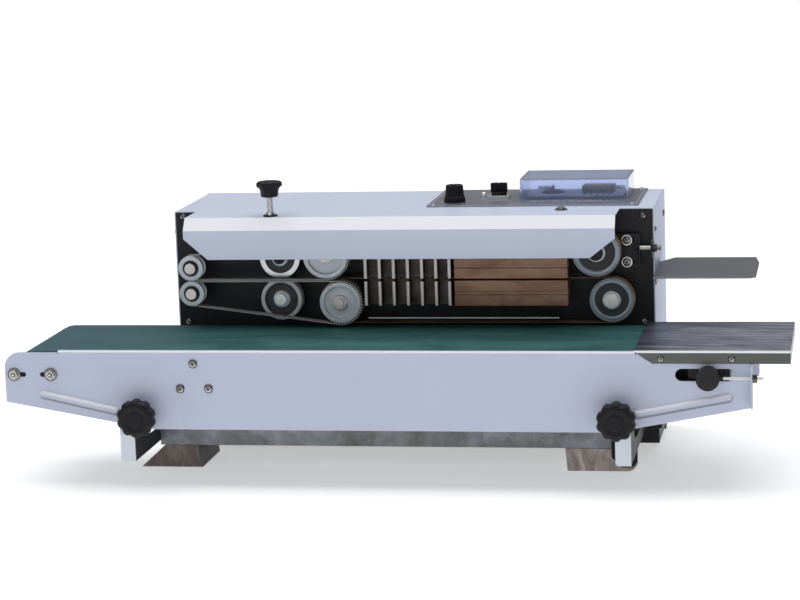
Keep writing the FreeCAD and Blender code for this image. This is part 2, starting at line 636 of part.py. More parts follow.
def infeed_plate():
    """Horizontal plate that steadies the bag's neck, on a flange at the casing's side."""
    x0, x1 = HEAD_X[1], 793.0
    z0 = SEAL_Z - 0.7
    plate = prism_z([(x0, 145), (x1 - 6, 145), (x1, 151), (x1, 242), (x1 - 5, 280), (x0 + 14, 280),
                     (x0, 252)], z0, z0 + 1.5)
    flange = box(x0, x0 + 1.5, 177, 252, z0 - 12, z0)
    return fuse([plate, flange])


# ---------------------------------------------------------------- sealing mechanism
def seal_bands():
    """Endless sealing bands around the upper and the lower pair of wheels."""
    upper = loop_belt((UPPER_X[0], UPPER_Z), UPPER_WHEEL_R + GAP, (UPPER_X[1], UPPER_Z),
                      UPPER_WHEEL_R + GAP, BAND_T, *BAND_Y)
    lower = loop_belt((LOWER_X[0], LOWER_Z), LOWER_WHEEL_R + GAP, (LOWER_X[1], LOWER_Z),
                      LOWER_WHEEL_R + GAP, BAND_T, *BAND_Y)
    return Part.makeCompound([upper, lower])


def guide_z(side):
    """Height of a left guide pulley: side 1 is the upper one, side -1 the lower one."""
    return SEAL_Z + side * (NIP + GUIDE_T + GAP + GUIDE_PULLEY_R)


def guide_belts():
    """Toothed bag-guide belts from the left pulleys to those beside the left wheels."""
    solids = []
    for side, x, z, r in ((1, UPPER_X[0], UPPER_Z, UPPER_WHEEL_R - 1),
                          (-1, LOWER_X[0], LOWER_Z, LOWER_WHEEL_R - 1)):
        solids.append(loop_belt((GUIDE_X, guide_z(side)), GUIDE_PULLEY_R + GAP, (x, z), r + GAP,
                                GUIDE_T, *GUIDE_Y))
    return Part.makeCompound(solids)


def band_wheel(x, z, r, bore):
    """Sealing-band wheel: rim, recessed web and hub."""
    y0, y1 = BAND_Y
    wheel = rod_y(x, z, r, y0, y1)
    for a, b in ((y0 - 1, y0 + 4), (y1 - 4, y1 + 1)):
        wheel = wheel.cut(rod_y(x, z, r - 5, a, b).cut(rod_y(x, z, 10, a, b)))
    return wheel.cut(rod_y(x, z, bore, y0 - 1, y1 + 1))


def guide_pulley_disk(x, z, r):
    """Guide-belt pulley beside a drive wheel, with a spacer hub and a front recess."""
    y0, y1 = GUIDE_Y
    disk = rod_y(x, z, r, y0, y1).fuse(rod_y(x, z, 9, y1, BAND_Y[0]))
    recess = rod_y(x, z, r - 5, y0 - 1, y0 + 4).cut(rod_y(x, z, 8, y0 - 1, y0 + 4))
    return cut(disk, [recess, rod_y(x, z, JOURNAL_R, y0 - 1, BAND_Y[0] + 1)])


def drive_wheel(x, z, r):
    return fuse([band_wheel(x, z, r, JOURNAL_R), guide_pulley_disk(x, z, r - 1)])


def gear_pair():
    """Meshed gears on the two drive shafts, and the angle of the line of centres."""
    upper, lower = (UPPER_X[0], UPPER_Z), (LOWER_X[0], LOWER_Z)
    dx, dz = lower[0] - upper[0], lower[1] - upper[1]
    module = 2 * math.hypot(dx, dz) / (UPPER_TEETH + LOWER_TEETH)
    angle = math.atan2(dz, dx)
    top = involute_gear(upper, UPPER_TEETH, module, angle, *GEAR_Y, JOURNAL_R)
    low = involute_gear(lower, LOWER_TEETH, module, angle + math.pi + math.pi / LOWER_TEETH,
                        *GEAR_Y, JOURNAL_R)
    return top, low


def shaft(x, z, y0, y1):
    """Drive shaft with a retaining collar in front of the guide pulley."""
    return fuse([rod_y(x, z, JOURNAL_R, y0, y1), rod_y(x, z, 7, GUIDE_Y[0] - 3, GUIDE_Y[0]),
                 rod_y(x, z, 8, GEAR_Y[0] - 3, GEAR_Y[0]), rod_y(x, z, 8, GEAR_Y[1], GEAR_Y[1] + 3)])


def upper_drive_shaft(gear):
    return fuse([shaft(UPPER_X[0], UPPER_Z, 131, 206), gear])


def lower_drive_shaft(gear):
    x, z = LOWER_X[0], LOWER_Z
    return fuse([shaft(x, z, 131, 222), gear, sprocket(x, z, BIG_SPROCKET, *SPROCKET_Y)])


def idler(x, z, r):
    return band_wheel(x, z, r, JOURNAL_R + RUN)


def guide_pulley(side):
    """Small left pulley of a guide belt, flanged just below the belt's outer face."""
    z = guide_z(side)
    y0, y1 = GUIDE_Y
    body = fuse([rod_y(GUIDE_X, z, GUIDE_PULLEY_R, y0 - 0.5, y1 + 0.5),
                 rod_y(GUIDE_X, z, 13.9, y0 - 1.9, y0 - 0.5), rod_y(GUIDE_X, z, 13.9, y1 + 0.5, y1 + 1.9)])
    groove = rod_y(GUIDE_X, z, 9, y0 - 3, y0 + 3).cut(rod_y(GUIDE_X, z, 6, y0 - 3, y0 + 3))
    return cut(body, [groove, rod_y(GUIDE_X, z, 4 + RUN, y0 - 3, y1 + 3)])


def press_wheel(z, knurled):
    """Emboss wheel with a grooved face, or the plain press roller below it."""
    y0, y1 = BAND_Y
    wheel = rod_y(EMBOSS_X, z, EMBOSS_R, y0, y1)
    cuts = [rod_y(EMBOSS_X, z, 17, y0 - 1, y0 + 3).cut(rod_y(EMBOSS_X, z, 9, y0 - 1, y0 + 3)),
            rod_y(EMBOSS_X, z, 4 + RUN, y0 - 1, y1 + 1)]
    if knurled:
        for y in (y0 + 4, y0 + 7.5, y0 + 11):
            ring = rod_y(EMBOSS_X, z, EMBOSS_R + 1, y, y + 1.2)
            cuts.append(ring.cut(rod_y(EMBOSS_X, z, EMBOSS_R - 0.8, y - 1, y + 3)))
    return cut(wheel, cuts)


def emboss_z():
    return SEAL_Z + NIP + EMBOSS_R


def press_arm():
    """Sliding arm that carries the emboss wheel; its tongue lies under the pressure spring."""
    plate = box(256, 288, 167, 170, 214, 264)
    tongue = box(258, 278, 122, 170, 258, 261)
    axle = fuse([rod_y(EMBOSS_X, emboss_z(), 4, 147.5, 167), rod_y(EMBOSS_X, emboss_z(), 6.5, 145.5, 148.5),
                 rod_y(EMBOSS_X, emboss_z(), 6.5, BAND_Y[1] + 0.4, 167)])
    slots = [slot_z(x, 252 - PRESS_LIFT, 252, 2.7, 166, 171) for x in (262.5, 281.5)]
    return cut(fuse([plate, tongue, axle]), slots)


def tension_plate():
    """Sliding plate of the upper idler: its axle, two guide slots and the tension screw."""
    y0, y1 = 166.5, 169.5
    plate = box(604, 668, y0, y1, UPPER_Z - 18, UPPER_Z + 18)
    axle = fuse([rod_y(UPPER_X[1], UPPER_Z, JOURNAL_R, 147.5, y0),
                 rod_y(UPPER_X[1], UPPER_Z, 8, 146, 148.5).cut(rod_y(UPPER_X[1], UPPER_Z, 2.5, 145, 147)),
                 rod_y(UPPER_X[1], UPPER_Z, 8, BAND_Y[1] + 0.3, y0)])
    screw = rod_x(664, HEAD_X[1] + 8, 168, UPPER_Z + 2.5, 2.5)
    slots = [slot_y(654, 659.5, z, 2.7, y0 - 1, y1 + 1) for z in (UPPER_Z + 11.5, UPPER_Z - 12.5)]
    return cut(fuse([plate, axle, screw]), slots)


def guide_pin(x, z0, z1):
    """Guide pin of a floating block."""
    return rod_z(x, sum(BLOCK_Y) / 2, GUIDE_PIN_R, z0, z1)


def heating_block(z0, z1, pin_z):
    """Heating block with a lengthways heater bore and a heater cartridge in it."""
    x0, x1 = HEAT_X
    y_mid = sum(BLOCK_Y) / 2
    z_mid = (z0 + z1) / 2
    block = box(x0, x1, *BLOCK_Y, z0, z1)
    groove = box(x0 - 1, x1 + 1, BLOCK_Y[0] - 1, BLOCK_Y[0] + 1.5, z_mid - 2, z_mid + 2)
    solid = cut(block, [groove, rod_x(x0 - 1, x1 + 1, y_mid, z_mid, 5)])
    pins = [guide_pin(x, z1, pin_z) for x in (x0 + 20, x1 - 20)] if pin_z else []
    cartridge = rod_x(x0 - 1, x1 + 0.4, y_mid, z_mid, 4.9)
    return Part.makeCompound([fuse([solid] + pins), cartridge])


def cooling_block(z0, z1, pin_z):
    """Cooling block with seven upright fins on its front."""
    x0, x1 = COOL_X
    root_y = BLOCK_Y[0] + 12
    block = box(x0, x1, root_y, BLOCK_Y[1], z0, z1)
    starts = [x0 + k * FIN_PITCH for k in range(6)] + [x1 - FIN_T]
    fins = [box(x, x + FIN_T, root_y - FIN_DEPTH, root_y, z0 + 1, z1) for x in starts]
    pins = [guide_pin(x, z1, pin_z) for x in (x0 + 24, x1 - 24)] if pin_z else []
    return fuse([block] + fins + pins)


def mechanism_mounts():
    """Bearing flanges, fixed axles, the upper blocks' bar and the keeper studs."""
    y0 = HEAD_Y[0]
    solids = []
    for x, z in shaft_points():
        flange = fuse([rod_y(x, z, 17, y0 - 3, y0), rod_y(x, z, 10, y0 - 7, y0)])
        solids.append(flange.cut(rod_y(x, z, JOURNAL_R + RUN, y0 - 8, y0 + 1)))
    x, z = LOWER_X[1], LOWER_Z
    solids.append(fuse([rod_y(x, z, JOURNAL_R, 148, y0), rod_y(x, z, 8, 146.5, 149.5),
                        rod_y(x, z, 9, BAND_Y[1] + 0.4, y0)]))
    for side in (1, -1):
        solids.append(fuse([rod_y(GUIDE_X, guide_z(side), 4, 132.5, y0),
                            rod_y(GUIDE_X, guide_z(side), 6, 131.5, 134.5),
                            rod_y(GUIDE_X, guide_z(side), 7, GUIDE_Y[1] + 2.4, y0)]))
    z = SEAL_Z - NIP - EMBOSS_R
    solids.append(fuse([rod_y(EMBOSS_X, z, 4, 147.5, y0), rod_y(EMBOSS_X, z, 6.5, 146.5, 149.5),
                        rod_y(EMBOSS_X, z, 7, BAND_Y[1] + 0.4, y0)]))
    for x in (262.5, 281.5):
        solids.append(fuse([rod_y(x, 252, 2.5, 166, 171), rod_y(x, 252, 3.8, 165.7, 166.7),
                            rod_y(x, 252, 5, 170.3, y0)]))
    bar = box(COOL_X[0] + 10, HEAT_X[1] - 6, BLOCK_Y[0] + 8, BLOCK_Y[1] - 1, 238, 248)
    posts = [box(x, x + 12, BLOCK_Y[1] - 1, y0, 238, 248) for x in (COOL_X[0] + 14, 478, HEAT_X[1] - 20)]
    pin_xs = (COOL_X[0] + 24, COOL_X[1] - 24, HEAT_X[0] + 20, HEAT_X[1] - 20)
    bores = [rod_z(x, sum(BLOCK_Y) / 2, GUIDE_PIN_R + RUN, 237, 249) for x in pin_xs]
    solids.append(cut(fuse([bar] + posts), bores))
    return Part.makeCompound(solids)


def lower_block_posts(x0, x1):
    """Posts from a fixed lower block back to the panel."""
    return [box(x, x + 12, BLOCK_Y[1], HEAD_Y[0], 180, 194) for x in (x0 + 8, x1 - 20)]


def guard_strip():
    """Narrow bright rail in front of the lower band, on two arms from the panel."""
    z0, z1 = 160.2, 162.0
    rail = box(372.5, 583, 134, 138, z0, z1)
    arms = [box(x, x + 14, 137, HEAD_Y[0], z0, z1) for x in (380, 559)]
    return fuse([rail] + arms)


def drive_chain():
    """Chain from the lower shaft's sprocket to the conveyor drive roller's."""
    big = (LOWER_X[0], LOWER_Z)
    small = DRIVE_ROLLER
    reach = 2.4
    solids = []
    for y0, y1 in ((SPROCKET_Y[0] - 1.6, SPROCKET_Y[0] - 0.5), (SPROCKET_Y[1] + 0.5, SPROCKET_Y[1] + 1.6)):
        solids.append(loop_belt(small, sprocket_radius(SMALL_SPROCKET) - reach, big,
                                sprocket_radius(BIG_SPROCKET) - reach, 2 * reach, y0, y1))
    return Part.makeCompound(solids)


def pressure_spring():
    """Coil spring between the press arm's tongue and the pressure screw's collar."""
    z0, z1, wire = 261.2, 267.8, 0.7
    helix = Part.makeHelix(2.2, z1 - z0 - 2 * wire, 5.6)
    start = V(5.6, 0, 0)
    ring = Part.Wire([Part.makeCircle(wire, start, V(0, 1, 0.06))])
    coil = Part.Wire(helix.Edges).makePipeShell([ring], True, True)
    coil.translate(V(PRESSURE_X, PRESSURE_Y, z0 + wire))
    return coil


def pressure_knob():
    """Lobed knob on the pressure screw, with its collar below the tab and washer above."""
    grip = lobed(14.2, 1.3, 8, 6)
    chamfer = Part.makeCylinder(16, 2, V(0, 0, 4.6)).cut(Part.makeCone(14.4, 12.6, 1.5, V(0, 0, 4.5)))
    grip = grip.cut(chamfer)
    grip.translate(V(0, 0, TOTAL_TOP - 6))
    parts = [grip, Part.makeCone(10.6, 12.6, 3, V(0, 0, TOTAL_TOP - 9)),
             Part.makeCone(9.2, 10.6, 8, V(0, 0, TOTAL_TOP - 17)),
             Part.makeCylinder(PRESSURE_SCREW_R, TOTAL_TOP - 12 - 265, V(0, 0, 265)),
             Part.makeCylinder(7, 1.4, V(0, 0, 268.2)),
             Part.makeCylinder(7.8, 1.3, V(0, 0, HEAD_TOP + 0.2)),
             Part.makeCylinder(4.6, 2.6, V(0, 0, HEAD_TOP + 1.5))]
    knob = fuse(parts)
    knob.translate(V(PRESSURE_X, PRESSURE_Y, 0))
    return knob


def gear_motor():
    """Geared motor on the lower drive shaft, on a plate held by three standoffs."""
    x, z = LOWER_X[0], LOWER_Z
    plate = box(x - 34, x + 36, 209, 212, z - 46, z + 34)
    gearbox = box(x - 30, x + 30, 212, 245, z - 30, z + 30)
    motor = fuse([rod_y(x, z, 28, 245, 305), rod_y(x, z, 25, 305, 309), rod_y(x, z, 8, 309, 313)])
    posts = [rod_y(px, pz, 3, HEAD_Y[0] + PANEL_T, 209)
             for px, pz in ((x + 30, z + 27), (x + 30, z - 27))]
    posts.append(rod_y(x, z - 40, 3, HEAD_Y[0] + 5, 209))
    bore = rod_y(x, z, JOURNAL_R + RUN, 205, 223)
    return cut(fuse([plate, gearbox, motor] + posts), [bore])


def fan_frame():
    """Square axial-fan frame on the rear cover, with its hub plate and four struts."""
    y0, y1 = HEAD_Y[1] - 25, HEAD_Y[1]
    frame = box(FAN_X - 40, FAN_X + 40, y0, y1, FAN_Z - 40, FAN_Z + 40)
    frame = frame.cut(rod_y(FAN_X, FAN_Z, 38, y0 - 1, y1 + 1))
    hub = rod_y(FAN_X, FAN_Z, 14, y0, y0 + 3)
    pin = rod_y(FAN_X, FAN_Z, 2, y0 + 2, y1 - 4)
    struts = [box(FAN_X - 39, FAN_X + 39, y0, y0 + 3, FAN_Z - 2, FAN_Z + 2),
              box(FAN_X - 2, FAN_X + 2, y0, y0 + 3, FAN_Z - 39, FAN_Z + 39)]
    return fuse([frame, hub, pin] + struts)


def fan_impeller():
    """Seven tilted blades on a hub."""
    y0, y1 = HEAD_Y[1] - 21, HEAD_Y[1] - 3
    hub = rod_y(0, 0, 14, y0, y1).cut(rod_y(0, 0, 2 + RUN, y0 - 1, y1 + 1))
    blades = []
    for k in range(7):
        blade = prism([V(10, y0 + 1, -5), V(10, y0 + 2.2, -5), V(10, y1 - 1, 5), V(10, y1 - 2.2, 5)],
                      V(25, 0, 0))
        blade.rotate(V(0, 0, 0), V(0, 1, 0), 360 * k / 7)
        blades.append(blade)
    impeller = fuse([hub] + blades).cut(rod_y(0, 0, 2 + RUN, y0 - 1, y1 + 1))
    impeller.translate(V(FAN_X, 0, FAN_Z))
    return impeller


def power_inlet():
    """Mains inlet in the rear cover: a bezel and an open cavity with three free pins."""
    x, z = INLET_X, INLET_Z
    face = HEAD_Y[1] + SHEET
    floor_y = face - INLET_DEPTH
    half_x, half_z, wall = 12.0, 8.0, 1.5
    bezel = box(x - 24, x + 24, face, REAR_Y, z - 12, z + 12)
    body = box(x - half_x - wall, x + half_x + wall, floor_y - 3, face, z - half_z - wall, z + half_z + wall)
    cavity = box(x - half_x, x + half_x, floor_y, REAR_Y + 1, z - half_z, z + half_z)
    pins = [box(px - 1, px + 1, floor_y - 1, face - 3, pz - 2, pz + 2)
            for px, pz in ((x - 7, z + 1), (x + 7, z + 1), (x, z + 4))]
    holes = [rod_y(px, z, 1.7, face - 1, REAR_Y + 1) for px in (x - 20, x + 20)]
    return fuse([cut(fuse([bezel, body]), [cavity] + holes)] + pins)


def circuit_board():
    """Speed and heater board on four standoffs from the rear cover."""
    y0 = HEAD_Y[1] - 8
    board = box(400, 520, y0, y0 + 1.6, 70, 150)
    posts = [rod_y(x, z, 3, y0 + 1.6, HEAD_Y[1]) for x in (407, 513) for z in (77, 143)]
    parts = [box(412, 440, y0 - 22, y0, 80, 140), box(455, 475, y0 - 14, y0, 85, 105),
             rod_y(492, 96, 8, y0 - 20, y0), rod_y(492, 122, 8, y0 - 20, y0),
             box(452, 478, y0 - 10, y0, 118, 140)]
    return fuse([board] + posts + parts)


def control_plate():
    """Brushed plate on the casing's top, with its corner screws and the lid's hinge ears."""
    plate = box(*CONTROL_X, *CONTROL_Y, HEAD_TOP, CONTROL_TOP)
    screws = []
    for x in (CONTROL_X[0] + 7, CONTROL_X[1] - 7):
        for y in (CONTROL_Y[0] + 7, CONTROL_Y[1] - 7):
            screws.append(Part.makeCone(3.6, 2.4, 1.6, V(x, y, CONTROL_TOP)))
    ears = []
    for x in (552, 629):
        foot = box(x - 3, x + 3, LID_HINGE[0] - 2.5, LID_HINGE[0] + 2.5, CONTROL_TOP, LID_HINGE[1])
        ears += [foot, rod_x(x - 3, x + 3, *LID_HINGE, 2.5)]
    pins = [rod_x(541, 552, *LID_HINGE, 1.2), rod_x(629, 640, *LID_HINGE, 1.2)]
    holes = [rod_z(*SPEED_KNOB, 3 + RUN, 270, 280), rod_z(*SELECTOR, 9, 270, 280),
             rod_z(*LAMP, 3.2, 270, 280), box(542.5, 638.5, 248.5, 294.5, 270, 280)]
    return cut(fuse([plate] + screws + ears + pins), holes)


def temperature_controller():
    """Panel-mounted controller: bezel, raised display, dial, and its body in the casing."""
    bezel = box(537, 644, 243, 300, CONTROL_TOP, CONTROL_TOP + 3)
    body = box(543, 638, 249, 294, 222, CONTROL_TOP)
    display = box(596, 632, 262, 286, CONTROL_TOP + 3, CONTROL_TOP + 11)
    dial = rod_z(562, 272, 9, CONTROL_TOP + 3, CONTROL_TOP + 6)
    lever = box(548, 576, 270.5, 273.5, CONTROL_TOP + 5, CONTROL_TOP + 9)
    return fuse([bezel, body, display, dial, lever])


def switch_bezels():
    """Selector body with its chrome frame, the lamp and the speed control's body."""
    x, y = SELECTOR
    frame = box(x - 12.5, x + 12.5, y - 12.5, y + 12.5, CONTROL_TOP, CONTROL_TOP + BEZEL_H)
    stem = rod_z(x, y, 8.9, HEAD_TOP - 12, CONTROL_TOP)
    body = box(x - 11, x + 11, y - 11, y + 11, 236, HEAD_TOP - 12)
    selector = fuse([frame, stem, body]).cut(rod_z(x, y, 5 + RUN, 268, 290))
    lamp = fuse([rod_z(*LAMP, 4.5, CONTROL_TOP, CONTROL_TOP + 1.5),
                 rod_z(*LAMP, 3.1, 262, CONTROL_TOP + 1),
                 Part.makeSphere(3.2, V(*LAMP, CONTROL_TOP + 1.5))])
    x, y = SPEED_KNOB
    speed = rod_z(x, y, 8.8, 258, HEAD_TOP).cut(rod_z(x, y, 3 + RUN, 262, HEAD_TOP + 1))
    return Part.makeCompound([selector, lamp, speed])


def speed_knob():
    """Skirted round knob with a pointer rib, on its spindle."""
    x, y = SPEED_KNOB
    skirt = Part.makeCone(12, 11.2, 6, V(0, 0, 0))
    grip = Part.makeCone(10.6, 9.6, 13, V(0, 0, 6))
    angles = [math.pi * k / 8 for k in range(16)]
    flutes = [Part.makeCylinder(1.2, 16, V(11.1 * math.cos(a), 11.1 * math.sin(a), 6)) for a in angles]
    pointer = box(-1.2, 1.2, -10.8, 0, 12, 20)
    spindle = Part.makeCylinder(3, 12, V(0, 0, -12))
    knob = fuse([skirt, grip.cut(flutes), pointer, spindle])
    knob.translate(V(x, y, CONTROL_TOP + 0.3))
    return knob


def selector_knob():
    """Grip-bar knob of the selector, on its spindle."""
    x, y = SELECTOR
    base = Part.makeCone(8.8, 8.2, 2.5, V(0, 0, 0))
    bar = prism([V(-8, -4, 2.5), V(8, -4, 2.5), V(8, 4, 2.5), V(-8, 4, 2.5)], V(0, 0, 10.5))
    bar = bar.cut(box(-9, 9, -5, -2.6, 5, 15)).cut(box(-9, 9, 2.6, 5, 5, 15))
    spindle = Part.makeCylinder(5, 10 + BEZEL_H - 2.5, V(0, 0, 2.5 - 10 - BEZEL_H))
    knob = fuse([base, bar, spindle])
    knob.translate(V(x, y, CONTROL_TOP + BEZEL_H + 0.3))
    return knob


def controller_lid():
    """Clear box lid with rear knuckles around the hinge pins."""
    z0 = CONTROL_TOP + 0.3
    z1 = CONTROL_TOP + LID_H
    t = 1.6
    shell = box(*LID_X, *LID_Y, z0, z1)
    shell = shell.cut(box(LID_X[0] + t, LID_X[1] - t, LID_Y[0] + t, LID_Y[1] - t, z0 - 1, z1 - t))
    knuckles = [fuse([rod_x(x, x + 7, *LID_HINGE, 2.4),
                      box(x, x + 7, LID_Y[1] - 0.2, LID_HINGE[0], LID_HINGE[1] - 1, LID_HINGE[1] + 2.4)])
                for x in (541.5, 632.5)]
    pins = [rod_x(x - 1, x + 8, *LID_HINGE, 1.2 + RUN) for x in (541.5, 632.5)]
    return cut(fuse([shell] + knuckles), pins)


# ---------------------------------------------------------------- write every node
def main():
    os.makedirs("parts", exist_ok=True)
    save("conveyor_front_plate", conveyor_front_plate())
    save("conveyor_rear_plate", conveyor_rear_plate())
    save("slider_bed", slider_bed())
    save("conveyor_belt", conveyor_belt())
    save("infeed_tray", infeed_tray())
    save("conveyor_brackets", conveyor_brackets())
    save("conveyor_screws", conveyor_screws())
    save("left_roller", roller(LEFT_ROLLER_X, ROLLER_Z, ROLLER_R, 7, 153, 2, 1.8, 158.2))
    save("right_roller", roller(RIGHT_ROLLER_X, ROLLER_Z, ROLLER_R, 7, 153, 2, 0.5, 159.5))
    save("tension_block", tension_block())
    save("drive_roller", drive_roller())
    save("clamp_knob_left", clamp_knob(KNOB_X[0]))
    save("clamp_knob_right", clamp_knob(KNOB_X[1]))

    save("support_uprights", support_uprights())
    save("support_arms", support_arms())
    save("cross_bar", cross_bar())
    save("bar_end_block", bar_end_block())
    save("front_feet", front_feet())
    save("base_tray", base_tray())
    save("rubber_feet", rubber_feet())

    save("housing", housing())
    save("rear_cover", rear_cover())
    save("mechanism_panel", mechanism_panel())
    save("front_cover", front_cover())
    save("panel_screws", panel_screws())
    save("infeed_plate", infeed_plate())

    upper_gear, lower_gear = gear_pair()
    save("seal_bands", seal_bands())
    save("guide_belts", guide_belts())
    save("upper_drive_shaft", upper_drive_shaft(upper_gear))
    save("lower_drive_shaft", lower_drive_shaft(lower_gear))
    save("upper_drive_wheel", drive_wheel(UPPER_X[0], UPPER_Z, UPPER_WHEEL_R))
    save("lower_drive_wheel", drive_wheel(LOWER_X[0], LOWER_Z, LOWER_WHEEL_R))
    save("upper_idler_wheel", idler(UPPER_X[1], UPPER_Z, UPPER_WHEEL_R))
    save("lower_idler_wheel", idler(LOWER_X[1], LOWER_Z, LOWER_WHEEL_R))
    save("upper_guide_pulley", guide_pulley(1))
    save("lower_guide_pulley", guide_pulley(-1))
    save("emboss_wheel", press_wheel(emboss_z(), True))
    save("press_roller", press_wheel(SEAL_Z - NIP - EMBOSS_R, False))
    save("press_arm", press_arm())
    save("tension_plate", tension_plate())
    upper_low = UPPER_Z - UPPER_WHEEL_R
    lower_high = LOWER_Z + LOWER_WHEEL_R
    save("upper_heating_block", heating_block(upper_low, upper_low + 27, 250))
    save("upper_cooling_block", cooling_block(upper_low, upper_low + 27, 250))
    heater = heating_block(lower_high - 28, lower_high, None)
    heater_parts = [fuse([heater.Solids[0]] + lower_block_posts(*HEAT_X)), heater.Solids[1]]
    save("lower_heating_block", Part.makeCompound(heater_parts))
    cooler = cooling_block(lower_high - 28, lower_high, None)
    save("lower_cooling_block", fuse([cooler] + lower_block_posts(*COOL_X)))
    save("mechanism_mounts", mechanism_mounts())
    save("guard_strip", guard_strip())
    save("pressure_knob", pressure_knob())
    save("pressure_spring", pressure_spring())

    save("gear_motor", gear_motor())
    save("drive_chain", drive_chain())
    save("fan_frame", fan_frame())
    save("fan_impeller", fan_impeller())
    save("power_inlet", power_inlet())
    save("circuit_board", circuit_board())
    save("control_plate", control_plate())
    save("temperature_controller", temperature_controller())
    save("switch_bezels", switch_bezels())
    save("speed_knob", speed_knob())
    save("selector_knob", selector_knob())
    save("controller_lid", controller_lid())


main()
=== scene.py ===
"""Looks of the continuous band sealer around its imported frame: finishes, smooth parts, light and camera."""

import json
import random
from math import acos, atan2, cos, pi, radians, sin, sqrt, tau

import bmesh
import bpy
from mathutils import Matrix, Vector


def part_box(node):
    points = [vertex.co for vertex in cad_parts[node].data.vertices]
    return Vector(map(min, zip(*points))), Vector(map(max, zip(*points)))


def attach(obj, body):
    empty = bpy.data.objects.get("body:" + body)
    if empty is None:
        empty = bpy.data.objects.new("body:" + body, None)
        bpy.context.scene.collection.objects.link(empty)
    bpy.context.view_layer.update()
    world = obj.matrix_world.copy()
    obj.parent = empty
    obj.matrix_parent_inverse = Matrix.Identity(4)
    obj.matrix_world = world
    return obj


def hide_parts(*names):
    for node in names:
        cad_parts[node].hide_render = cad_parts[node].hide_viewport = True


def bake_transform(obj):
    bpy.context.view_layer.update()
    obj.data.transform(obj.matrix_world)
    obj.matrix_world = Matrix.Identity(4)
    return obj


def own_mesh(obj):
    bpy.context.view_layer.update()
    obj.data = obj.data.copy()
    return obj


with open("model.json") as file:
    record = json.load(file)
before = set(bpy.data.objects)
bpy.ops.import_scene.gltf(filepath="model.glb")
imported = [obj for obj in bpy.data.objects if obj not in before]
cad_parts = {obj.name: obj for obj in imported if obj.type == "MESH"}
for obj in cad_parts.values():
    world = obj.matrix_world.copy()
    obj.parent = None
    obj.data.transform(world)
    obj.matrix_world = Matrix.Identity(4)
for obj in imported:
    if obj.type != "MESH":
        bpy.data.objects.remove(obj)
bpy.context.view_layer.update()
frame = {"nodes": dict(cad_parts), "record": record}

MM = 0.001
X, Y, Z = Vector((1, 0, 0)), Vector((0, 1, 0)), Vector((0, 0, 1))
FIN_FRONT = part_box("upper_cooling_block")[0].y
TRAY_EDGE = Vector((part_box("infeed_tray")[0].x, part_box("infeed_tray")[0].y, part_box("infeed_tray")[1].z))
random.seed(7)


